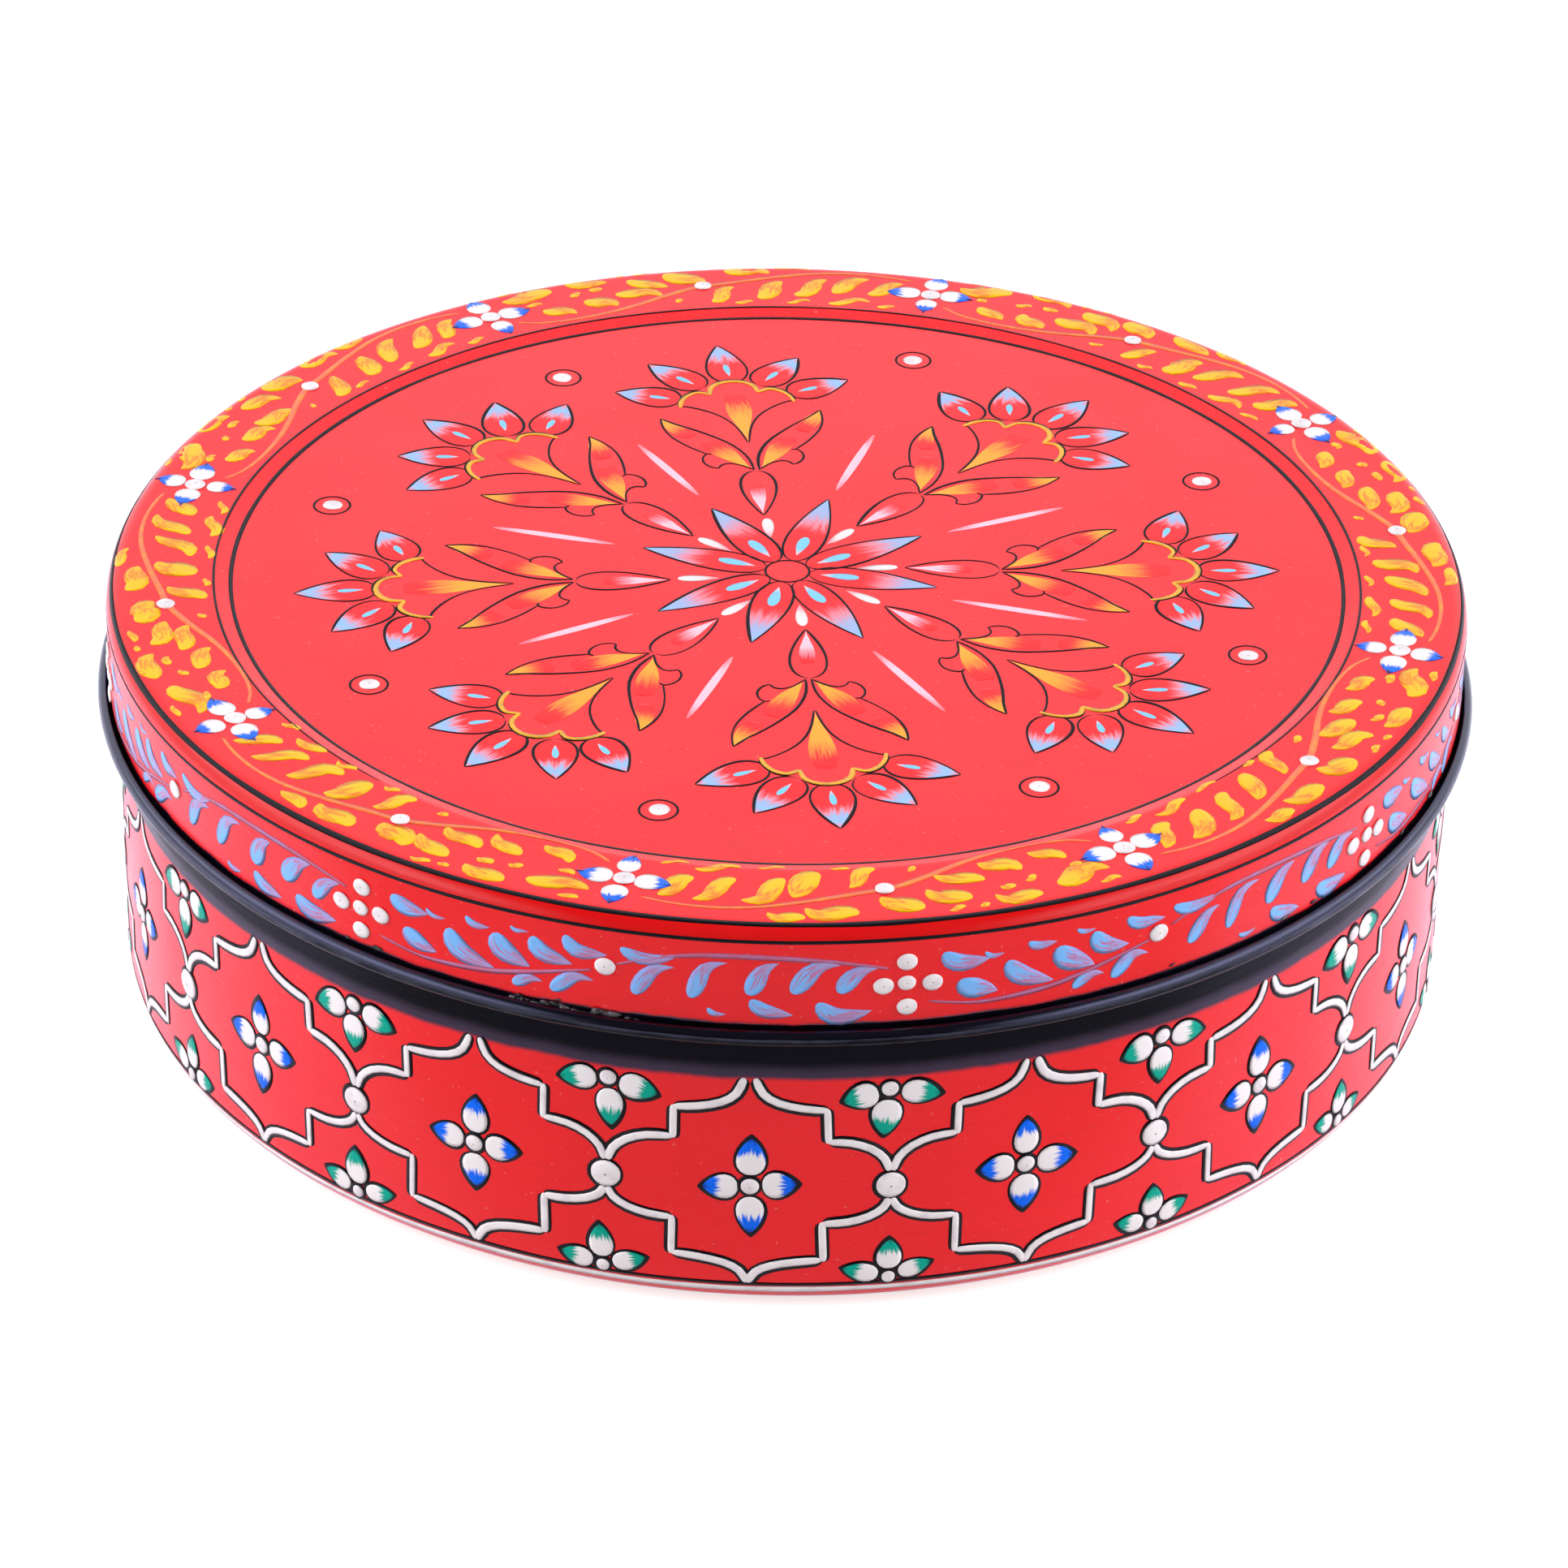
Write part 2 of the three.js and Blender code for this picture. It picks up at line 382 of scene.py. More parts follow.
# painted shade: the dark spot of the small pit in a drop
PIT_SHADE = colour(110, 96, 92)
PINK = colour(246, 172, 194)
PALE_PINK = colour(250, 205, 224)
BLUE = colour(10, 104, 243)
NAVY = colour(14, 30, 120)
LIGHT_BLUE = colour(112, 184, 250)
PALE_BLUE = colour(142, 194, 244)
DROP_BLUE = colour(122, 206, 250)
RIM_BLUE = colour(138, 160, 226)
MAUVE = colour(172, 112, 160)
YELLOW = colour(251, 194, 4)
GOLD = colour(243, 174, 36)
OLIVE = colour(206, 160, 44)
ORANGE = colour(244, 140, 40)
STEM_ORANGE = colour(250, 112, 66)
STEM_MAUVE = colour(186, 92, 128)
GREEN = colour(0, 162, 142)
DEEP_GREEN = colour(0, 100, 88)
STEEL = colour(205, 203, 200)
STEEL_DARK = colour(168, 166, 163)


def add(tree, kind, values=(), **settings):
    """A new node. Values that are sockets are linked, and the others are set."""
    node = tree.nodes.new(kind)
    for name, value in settings.items():
        setattr(node, name, value)
    for key, value in dict(values).items():
        if isinstance(value, bpy.types.NodeSocket):
            tree.links.new(value, node.inputs[key])
        else:
            node.inputs[key].default_value = value
    return node


def joined(kind, values, output=0, **settings):
    """An output of a new node that is linked to the nodes before it."""
    tree = next(v.id_data for v in values.values() if isinstance(v, bpy.types.NodeSocket))
    return add(tree, kind, values, **settings).outputs[output]


def finish(name, shader_values):
    """A new material, with its Principled shader and the place on the object."""
    material = bpy.data.materials.new(name)
    material.use_nodes = True
    tree = material.node_tree
    shader = tree.nodes["Principled BSDF"]
    for key, value in shader_values.items():
        shader.inputs[key].default_value = value
    return material, shader, add(tree, "ShaderNodeTexCoord").outputs["Object"]


def feed(shader, name, value):
    """Links a value to an input of a shader."""
    shader.id_data.links.new(value, shader.inputs[name])


def stroke_map(shader):
    return add(shader.id_data, "ShaderNodeUVMap", uv_map="stroke").outputs[0]


def parts_of(vector):
    """The three coordinates of a vector."""
    return joined("ShaderNodeSeparateXYZ", {0: vector}).node.outputs


def stretched(vector, x, y, z):
    return joined("ShaderNodeVectorMath", {0: vector, 1: (x, y, z)}, operation="MULTIPLY")


def cloud(vector, scale=1.0, detail=2.0):
    return joined("ShaderNodeTexNoise", {"Vector": vector, "Scale": scale, "Detail": detail})


def reckon(operation, first, second):
    return joined("ShaderNodeMath", {0: first, 1: second}, operation=operation)


def ranged(value, low, high, to_low=0.0, to_high=1.0):
    """A value brought softly from one range to another."""
    values = {"Value": value, "From Min": low, "From Max": high, "To Min": to_low, "To Max": to_high}
    return joined("ShaderNodeMapRange", values, interpolation_type="SMOOTHSTEP")


def mixed(share, first, second):
    """The first value, or the second where the share is 1."""
    return joined("ShaderNodeMix", {0: share, 2: first, 3: second})


def blended(share, first, second):
    """The first colour, or the second where the share is 1."""
    return joined("ShaderNodeMix", {0: share, 6: first, 7: second}, 2, data_type="RGBA")


def uneven(shader, vector, scale, strength, distance):
    """A slight unevenness of the surface."""
    bump = {"Height": cloud(vector, scale, 4.0), "Strength": strength, "Distance": distance}
    feed(shader, "Normal", joined("ShaderNodeBump", bump))


# How often marks come in a metre, along each axis where they are drawn out
CLOUDS = 30.0
SPECKS = 1700.0
BRUSH_MARKS = (70, 70, 2400)
BLACK_DRAG = (150, 150, 90)
RIPPLES = (160, 160, 1900)
STROKE_VARIETY = (310, 310, 310)
# Gloss of the paint, and what is left of the enamel's roughness where it is black
PAINT_IOR = 1.5
ENAMEL_SHEEN = 0.4
ENAMEL_ROUGHNESS = (0.17, 0.27)
BLACK_POLISH = 0.45
# Black along the edge of a sheet: the height where it ends, how softly and how raggedly it ends there,
# the heights between which it darkens to a painted shade, and its sheen at each of these, lower in the
# shade;
# on the box the shade stands for the shadow under the lid's bead, and the lit black at its lower edge is a
# painted blue-grey sheen; on the lid the painted shade darkens the bead's lower half
BOX_BAND = {"edge": 39.0, "soft": 0.5, "ragged": 0.9, "shade_heights": (39.6, 42.0), "sheens": (0.3, 0.13)}
LID_BEAD = {
    "edge": 49.2,
    "soft": -0.3,
    "ragged": 1.2,
    "shade_heights": (LID_BOTTOM + 1.7, LID_BOTTOM + 0.8),
    "sheens": (1.0, 0.12),
}
# Painted shade, a deeper red round the lid's shoulder where shade falls: how far out and how far down it
# begins and is full
SHOULDER_SHADE_OUT = (0.6, 1.6)
SHOULDER_SHADE_DOWN = (2.4, 1.6)
# Where the brush came off a drop, as shares of it: a small pit, painted as a dark spot of shade
PIT_SPOT = (0.5, 0.47, 0.0)
PIT_REACH = (0.05, 0.02)


def red_coat(place):
    """The red enamel's colour: brushed on round the box, a little cloudy, with a few specks."""
    cloudy = ranged(cloud(place, CLOUDS, 3.0), 0.35, 0.68)
    marks = cloud(stretched(place, *BRUSH_MARKS), 1.0, 3.0)
    specks = ranged(cloud(place, SPECKS, 0.0), 0.815, 0.85, 0.0, 0.45)
    coat = blended(cloudy, RED, RED_LIGHT)
    coat = blended(ranged(marks, 0.5, 0.8, 0.0, 0.4), coat, RED_DEEP)
    return blended(specks, coat, RED_SPECK)


def lid_red_with_shoulder_shade(place):
    """The red enamel, with painted shade in a deeper red round the lid's shoulder."""
    flat = stretched(place, 1, 1, 0)
    radius = joined("ShaderNodeVectorMath", {0: flat}, 1, operation="LENGTH")
    outside = ranged(radius, *[(SHOULDER_RADIUS + out) * MM for out in SHOULDER_SHADE_OUT])
    over = ranged(parts_of(place)[2], *[(LID_TOP - down) * MM for down in SHOULDER_SHADE_DOWN])
    return blended(reckon("MULTIPLY", outside, over), red_coat(place), RED_SHOULDER_SHADE)


def shell_enamel(name, red, lit_black, edge, soft, ragged, shade_heights, sheens):
    """Red enamel, with black brushed along the edge of the sheet that goes from its lit colour to a painted
    shade.
    """
    values = {"IOR": PAINT_IOR, "Specular IOR Level": ENAMEL_SHEEN}
    material, shader, place = finish(name, values)
    drag = reckon("SUBTRACT", cloud(stretched(place, *BLACK_DRAG), 1.0, 6.0), 0.5)
    level = reckon("ADD", parts_of(place)[2], reckon("MULTIPLY", drag, ragged * MM))
    black = ranged(level, (edge - soft) * MM, (edge + soft) * MM)
    shade_share = ranged(level, shade_heights[0] * MM, shade_heights[1] * MM)
    # Painted shade: the black darkens where shade falls, from its lit colour (a painted blue-grey sheen on
    # the box)
    coat = blended(shade_share, lit_black, BLACK_PAINTED_SHADE)
    feed(shader, "Base Color", blended(black, red(place), coat))
    feed(shader, "Specular Tint", blended(black, DAYLIGHT, COOL_GLOSS))
    rough = ranged(cloud(place, 60.0, 5.0), 0.3, 0.7, *ENAMEL_ROUGHNESS)
    polish = ranged(black, 0.0, 1.0, 1.0, BLACK_POLISH)
    feed(shader, "Roughness", reckon("MULTIPLY", rough, polish))
    sheen = ranged(shade_share, 0.0, 1.0, *sheens)
    feed(shader, "Specular IOR Level", mixed(black, ENAMEL_SHEEN, sheen))
    uneven(shader, stretched(place, *RIPPLES), 1.0, 0.16, 0.0003)
    return material


def plain_paint(name, main, shade, roughness, sheen=0.5):
    """Paint of one colour, brushed thinner in places."""
    values = {"IOR": PAINT_IOR, "Roughness": roughness, "Specular IOR Level": sheen}
    material, shader, place = finish(name, values)
    thin = ranged(cloud(place, 420.0, 4.0), 0.42, 0.72)
    feed(shader, "Base Color", blended(thin, main, shade))
    uneven(shader, place, 900.0, 0.2, 0.0002)
    return material


def black_line(name, roughness=0.4, sheen=0.2):
    return plain_paint(name, BLACK, BLACK_WORN, roughness, sheen)


def streaked_paint(name, streaks, fade, stops, sheen=0.3, rim=None):
    """Paint that changes along its stroke in streaks, and may have a rim of another colour.

    The stops give places along it, with a colour and how well that covers the red.
    """
    values = {"IOR": PAINT_IOR, "Roughness": 0.28, "Specular IOR Level": sheen}
    material, shader, place = finish(name, values)
    along, across = parts_of(stroke_map(shader))[:2]
    bristles = {0: reckon("MULTIPLY", across, streaks), 1: reckon("MULTIPLY", along, 0.8)}
    varied = {0: joined("ShaderNodeCombineXYZ", bristles), 1: stretched(place, *STROKE_VARIETY)}
    streak = cloud(joined("ShaderNodeVectorMath", varied, operation="ADD"), 1.0, 3.0)
    drag = reckon("MULTIPLY", reckon("SUBTRACT", streak, 0.5), fade)
    ramp = joined("ShaderNodeValToRGB", {"Fac": reckon("ADD", along, drag)}).node
    elements = ramp.color_ramp.elements
    while len(elements) < len(stops):
        elements.new(0.5)
    for element, (reach, pigment, cover) in zip(elements, stops):
        element.position = reach
        element.color = (*pigment[:3], cover)
    coat = blended(ramp.outputs["Alpha"], red_coat(place), ramp.outputs["Color"])
    if rim:
        off_middle = reckon("ABSOLUTE", reckon("SUBTRACT", across, 0.5), 0.0)
        coat = blended(ranged(off_middle, 0.3, 0.46, 0.0, 0.85), coat, rim)
    feed(shader, "Base Color", coat)
    uneven(shader, place, 800.0, 0.2, 0.0002)
    return material


def tipped(white_end, tip_start, tip, dark):
    """Stops of a white petal whose tip is coloured and darkens at its end."""
    return ((white_end, WHITE, 1.0), (tip_start, tip, 1.0), (0.88, tip, 1.0), (0.99, dark, 1.0))


def dotted_paint(name):
    """White drops, each with a small pit where the brush came off, painted as a dark spot of shade."""
    material, shader, place = finish(name, {"IOR": PAINT_IOR, "Roughness": 0.32})
    from_pit = {0: stroke_map(shader), 1: PIT_SPOT}
    away = joined("ShaderNodeVectorMath", from_pit, 1, operation="DISTANCE")
    thin = ranged(cloud(place, 500.0, 3.0), 0.4, 0.7)
    white = blended(thin, WHITE, WHITE_SHADE)
    # The pit is a painted dark spot of shade, not a hollow in the drop
    feed(shader, "Base Color", blended(ranged(away, *PIT_REACH), white, PIT_SHADE))
    uneven(shader, place, 700.0, 0.2, 0.0002)
    return material


def brushed_steel(name, often, roughness):
    """Bare steel with fine marks, so often in a metre along each axis, and a range of roughness."""
    material, shader, place = finish(name, {"Metallic": 1.0})
    drawn = stretched(place, *often)
    marks = cloud(drawn, 1.0, 5.0)
    smear = cloud(place, 40.0, 3.0)
    feed(shader, "Base Color", blended(ranged(marks, 0.3, 0.75), STEEL, STEEL_DARK))
    rough = reckon("ADD", reckon("MULTIPLY", marks, 0.5), reckon("MULTIPLY", smear, 0.5))
    feed(shader, "Roughness", ranged(rough, 0.3, 0.7, *roughness))
    uneven(shader, drawn, 1.0, 0.06, 0.0002)
    return material


# Pieces

def placed(name, data):
    """A new object in the scene."""
    made = bpy.data.objects.new(name, data)
    bpy.context.scene.collection.objects.link(made)
    return made


def meshed(name, bm, materials):
    """A new object in the scene, from a mesh that is done."""
    mesh = bpy.data.meshes.new(name)
    bm.to_mesh(mesh)
    bm.free()
    for material in materials:
        mesh.materials.append(material)
    return placed(name, mesh)


def piece(name, bm, body, materials, slot, replaced=()):
    """Closes a mesh, turns its faces outwards and sets it on its body."""
    bmesh.ops.remove_doubles(bm, verts=bm.verts[:], dist=MERGE)
    bmesh.ops.dissolve_degenerate(bm, edges=bm.edges[:], dist=MERGE)
    bmesh.ops.recalc_face_normals(bm, faces=bm.faces[:])
    made = meshed(name, bm, materials)
    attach(made, body)
    if replaced:
        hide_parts(*replaced)


def arc(centre_x, centre_y, radius, start, end, steps):
    """Points of an arc in a profile, with angles in degrees."""
    turns = [radians(start + (end - start) * i / steps) for i in range(steps + 1)]
    return [Vector((centre_x + radius * cos(t), centre_y + radius * sin(t))) for t in turns]


def eased(before, corner, after, steps=4):
    """A crease that is rounded between two straight runs."""
    corner = Vector(corner)
    start = corner + (Vector(before) - corner).normalized() * STEP_EASE
    end = corner + (Vector(after) - corner).normalized() * STEP_EASE
    shares = [i / steps for i in range(steps + 1)]
    return [start * (1 - s) ** 2 + corner * 2 * s * (1 - s) + end * s**2 for s in shares]


def supported(path):
    """A profile with a point close to each end of its long straight runs, so that they shade flat."""
    points = [path[0]]
    for start, end in zip(path, path[1:]):
        if (end - start).length > 4 * SUPPORT:
            inset = (end - start).normalized() * SUPPORT
            points += [start + inset, end - inset]
        points.append(end)
    return points


def far_face(path, thickness):
    """The other face of a bent sheet, to the right of the path."""
    last = len(path) - 1
    moved = []
    for i, point in enumerate(path):
        ahead = (path[min(i + 1, last)] - path[max(i - 1, 0)]).normalized()
        moved.append(point + Vector((ahead.y, -ahead.x)) * thickness)
    return moved


def turned(bm, path, steps, finish_number=0):
    """Turns a profile of radius and height once round the middle."""
    known = len(bm.faces)
    points = [bm.verts.new((point.x * MM, 0.0, point.y * MM)) for point in path]
    edges = [bm.edges.new(pair) for pair in zip(points, points[1:])]
    bmesh.ops.spin(
        bm, geom=points + edges, cent=(0, 0, 0), axis=(0, 0, 1), angle=tau, steps=steps, use_merge=True
    )
    bm.faces.ensure_lookup_table()
    for face in bm.faces[known:]:
        face.smooth = True
        face.material_index = finish_number


def sheet_piece(name, path, thickness, painted_curl, body, materials, node):
    """A pressed shell, closed: painted on its face and over its curled edge, and bare on its back."""
    face = supported(path)
    back = [face[-1]] + far_face(face, thickness)[::-1]
    bm = bmesh.new()
    turned(bm, face, SHELL_STEPS, 0)
    turned(bm, back[: painted_curl + 1], SHELL_STEPS, 0)
    turned(bm, back[painted_curl:], SHELL_STEPS, 1)
    piece(name, bm, body, materials, "red_enamel", [node])


def make_box_shell(materials):
    path = [
        Vector((0, 0)),
        *arc(BOX_RADIUS - BASE_CORNER, BASE_CORNER, BASE_CORNER, -90, 0, CORNER_POINTS),
        *arc(BOX_RADIUS - RIM_HEM, BOX_HEIGHT - RIM_HEM, RIM_HEM, 0, RIM_HEM_SWEEP, HEM_POINTS),
    ]
    sheet_piece("box_enamelled", path, -SHEET, 1, "box", materials, "box_shell")


def make_lid_shell(materials):
    centre, foot = (0, PANEL_HEIGHT), (PANEL_RADIUS, PANEL_HEIGHT)
    head, border = (STEP_RADIUS, LID_TOP), (SHOULDER_RADIUS, LID_TOP)
    path = [
        Vector(centre),
        *eased(centre, foot, head),
        *eased(foot, head, border),
        *arc(SHOULDER_RADIUS, LID_TOP - LID_SHOULDER, LID_SHOULDER, 90, 0, SHOULDER_POINTS),
        *arc(
            LID_RADIUS + BEAD_HOLLOW,
            LID_BOTTOM + BEAD_HOLLOW + SHEET,
            BEAD_HOLLOW,
            180,
            180 + BEAD_SWEEP,
            BEAD_POINTS,
        ),
    ]
    sheet_piece("lid_enamelled", path, SHEET, BEAD_POINTS + 1, "lid", materials, "lid_shell")


def make_cup(node, steel):
    low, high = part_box(node)
    mouth = CUP_RADIUS - 2 * CUP_BEAD
    corner = mouth - CUP_TAPER + CUP_SHEET - CUP_CORNER
    height = CUP_TOP - CUP_BOTTOM
    outline = [
        Vector((0, 0)),
        *arc(corner, CUP_CORNER, CUP_CORNER, -90, 0, CUP_CORNER_POINTS),
        Vector((mouth + CUP_SHEET, height - 2 * CUP_BEAD)),
        *arc(mouth + CUP_BEAD, height - CUP_BEAD, CUP_BEAD, -90, 180, CUP_BEAD_POINTS),
        *arc(corner, CUP_CORNER, CUP_CORNER - CUP_SHEET, 0, -90, CUP_CORNER_POINTS),
        Vector((0, CUP_SHEET)),
    ]
    bm = bmesh.new()
    turned(bm, supported(outline), CUP_STEPS)
    middle = (low + high) / 2
    bmesh.ops.translate(bm, verts=bm.verts[:], vec=(middle.x, middle.y, low.z))
    piece(f"{node}_spun", bm, node, [steel], "bare_steel", [node])


def make_spoon(steel):
    """A spoon pressed from one sheet: a grid drawn in to the spoon's outline, dished and thickened."""
    rim = SPOON_TOP - SPOON_UPTURN
    bowl_middle = SPOON_START + SPOON_BOWL_LENGTH / 2
    dish = rim - SPOON_BOTTOM - SPOON_SHEET
    end_radius = SPOON_HANDLE / 2
    half_length = (SPOON_END - SPOON_START) / 2

    def half_width(x):
        bowl = 1 - ((x - bowl_middle) / (SPOON_BOWL_LENGTH / 2)) ** 2
        bowl = SPOON_BOWL_WIDTH / 2 * sqrt(max(bowl, 0.0))
        run = (x - bowl_middle) / (SPOON_END - end_radius - bowl_middle)
        handle = SPOON_NECK / 2 + (end_radius - SPOON_NECK / 2) * min(max(run, 0.0), 1.0)
        past = max(x - SPOON_END + end_radius, 0.0)
        handle *= sqrt(max(1 - (past / end_radius) ** 2, 0.0)) if x > bowl_middle else 0.0
        return (bowl**4 + handle**4) ** 0.25

    def height(x, y):
        reach = ((x - bowl_middle) / (SPOON_BOWL_LENGTH / 2)) ** 2 + (y / (SPOON_BOWL_WIDTH / 2)) ** 2
        rise = max(x - SPOON_END + SPOON_UPTURN_LENGTH, 0.0) / SPOON_UPTURN_LENGTH
        in_handle = x > bowl_middle + SPOON_BOWL_LENGTH / 2
        crease = SPOON_CREASE * (1 - (y / end_radius) ** 2) if in_handle else 0.0
        return rim - dish * max(1 - reach, 0.0) ** 0.7 + SPOON_UPTURN * rise**2 - max(crease, 0.0)

    bm = bmesh.new()
    grid = bmesh.ops.create_grid(bm, x_segments=SPOON_ALONG, y_segments=SPOON_ACROSS, size=1)["verts"]
    for vert in grid:
        x = SPOON_START + half_length * (1 - cos(pi * (vert.co.x + 1) / 2))
        y = half_width(x) * sin(pi / 2 * vert.co.y)
        vert.co = Vector((x, y, height(x, y))) * MM
    bmesh.ops.remove_doubles(bm, verts=bm.verts[:], dist=MERGE)
    bmesh.ops.recalc_face_normals(bm, faces=bm.faces[:])
    bmesh.ops.solidify(bm, geom=bm.faces[:], thickness=SPOON_SHEET * MM)
    for face in bm.faces:
        face.smooth = True
    piece("spoon_pressed", bm, "spoon", [steel], "bare_steel", ["spoon"])


# Painted ornament

class Coats:
    """One mesh for each kind of paint on a body."""

    def __init__(self, body):
        self.body = body
        self.meshes = {}

    def __getitem__(self, name):
        if name not in self.meshes:
            self.meshes[name] = bmesh.new()
        return self.meshes[name]

    def finish(self, **slots):
        """Makes the pieces, with paints that are listed for each slot."""
        paints = {name: (paint, slot) for slot, listed in slots.items() for name, paint in listed.items()}
        for name, bm in self.meshes.items():
            paint, slot = paints[name]
            piece(name, bm, self.body, [paint], slot)


# The lotus spray, as distances out from the lid's middle and across its axis
BUD_ROOT, BUD_TIP, BUD_WIDTH = (31.8, 0.2), (17.6, 1.0), 5.8
BUD_STREAK_START, BUD_STREAK_END, BUD_STREAK_WIDTH = (18.0, 1.0), (27.8, 0.4), 2.7
DROP_OUTER, DROP_INNER, DROP_WIDTH = (16.6, 1.0), (10.2, 1.0), 1.8
LOTUS_PETALS = (
    ((56.4, -8.5), (60.2, -18.5)),
    ((59.9, -4.5), (68.6, -11.8)),
    ((61.5, 0.0), (73.9, 0.0)),
    ((59.9, 4.5), (68.6, 11.8)),
    ((56.4, 8.5), (60.2, 18.5)),
)
LOTUS_PETAL_WIDTH = 6.4
LOTUS_FILL_WIDTH, LOTUS_FILL_END = 5.9, 0.985
LOTUS_DROP_OUTER, LOTUS_DROP_INNER, LOTUS_DROP_WIDTH = 0.48, 0.14, 1.15
LEAF_INNER_EDGE = (
    (32.0, 0.4), (36.2, 0.8), (40.3, 2.5), (43.5, 5.1), (46.2, 7.9), (48.2, 10.4), (50.4, 12.6),
)
LEAF_HOLLOW = ((32.2, 0.5), (33.9, 2.3), (34.6, 4.0), (34.2, 5.2), (33.2, 5.8))
LEAF_EAR = ((33.2, 5.8), (33.9, 7.0), (35.4, 7.8), (37.0, 7.7), (38.0, 7.0), (37.9, 6.2))
LEAF_OUTER_EDGE = ((38.0, 6.9), (40.7, 9.4), (43.9, 11.5), (47.1, 12.5), (50.4, 12.6))
LEAF_BASE_STREAK = ((32.9, 0.9), (37.0, 3.5), (42.4, 6.6))
LEAF_TIP_STREAK = ((50.3, 12.5), (47.6, 11.1), (43.8, 8.6))
TRUMPET_SIDE = ((41.0, 0.1), (45.3, 0.9), (48.5, 2.1), (50.9, 3.8), (52.7, 5.9), (53.9, 8.0), (54.0, 9.0))
TRUMPET_SIDE_LIP = ((53.7, 9.0), (55.6, 8.6), (57.5, 7.4), (58.4, 5.6), (57.5, 3.8))
TRUMPET_LIP = ((57.4, 3.8), (59.7, 3.4), (61.1, 2.0), (61.6, 0.0), (61.1, -2.0), (59.7, -3.4), (57.4, -3.8))
# Lines and streaks on both sides of the spray, with their widths
SPRAY_LINES = (
    (LEAF_INNER_EDGE, 0.42), (LEAF_HOLLOW, 0.33), (LEAF_EAR, 0.33), (LEAF_OUTER_EDGE, 0.33),
    (TRUMPET_SIDE, 0.34),
)
SPRAY_STREAKS = ((LEAF_BASE_STREAK, 3.9), (LEAF_TIP_STREAK, 3.4))
SIDE_LIP_WIDTH, SIDE_LIP_LINE, SIDE_LIP_OFF = 0.75, 0.4, (0.45, 0.25)
LIP_WIDTH, LIP_LINE, LIP_OFF = 0.85, 0.42, (0.5, 0.0)
TRUMPET_HEART, TRUMPET_HEART_WIDTH = ((41.4, 0.0), (57.6, 0.0)), 4.6
SPRAY_TURNS = (2.4, 50.7, 98.9, 140.9, 187.4, 232.4, 276.0, 322.0)
STAR_TURNS = (29.8, 75.0, 121.5, 163.6, 214.0, 256.7, 299.8, 349.6)
STAR_RING, STAR_CORE, STAR_TIP, STAR_WIDTH, STAR_FILL_WIDTH = 3.3, 3.4, 22.9, 5.9, 5.5
STAR_DROP_OUTER, STAR_DROP_INNER, STAR_DROP_WIDTH = (11.0, 0.0), (4.9, 0.0), 2.0
RAY_TURNS = (27.7, 73.7, 121.0, 164.4, 210.9, 252.3, 299.1, 343.4)
RAY_INNER, RAY_OUTER, RAY_WIDTH = (26.6, 0.0), (46.6, 0.0), 1.35
RINGED_DOT_TURNS = (25.7, 74.4, 120.6, 165.5, 210.7, 255.9, 300.7, 341.4)
RINGED_DOT_OUT, RINGED_DOT_SIZE, RINGED_DOT_RING = 71.0, 1.5, 2.75


def turned_place(place, turn, middle=(0.0, 0.0)):
    """A pattern of distances out and across, turned by an angle on a surface."""
    cosine, sine = cos(radians(turn)), sin(radians(turn))
    return lambda out, across, lift: place(
        middle[0] + out * cosine - across * sine, middle[1] + out * sine + across * cosine, lift
    )


def mirrored(points, side):
    return [(out, across * side) for out, across in points]


def fill(bm, place, curve, width, shape=petal_width, along=10):
    """A flat stroke that colours in a form."""
    stroke(bm, place, curve, width, shape, FLAT_PAINT, along, crisp=True)


def drip(bm, place, outer, inner, width):
    """A small drop, drawn towards the middle."""
    stroke(bm, place, bow(outer, inner), width, petal_width, LINE_PAINT, 8)


def paint_lip(coats, place, points, width, line_size, off):
    """A raised lip of a trumpet, with a fine line beside it."""
    lip = through(points)
    line(coats["lid_trumpet_lips"], place, lip, width, height=THICK_PAINT)
    line(coats["lid_fine_outlines"], turned_place(place, 0.0, off), lip, line_size)


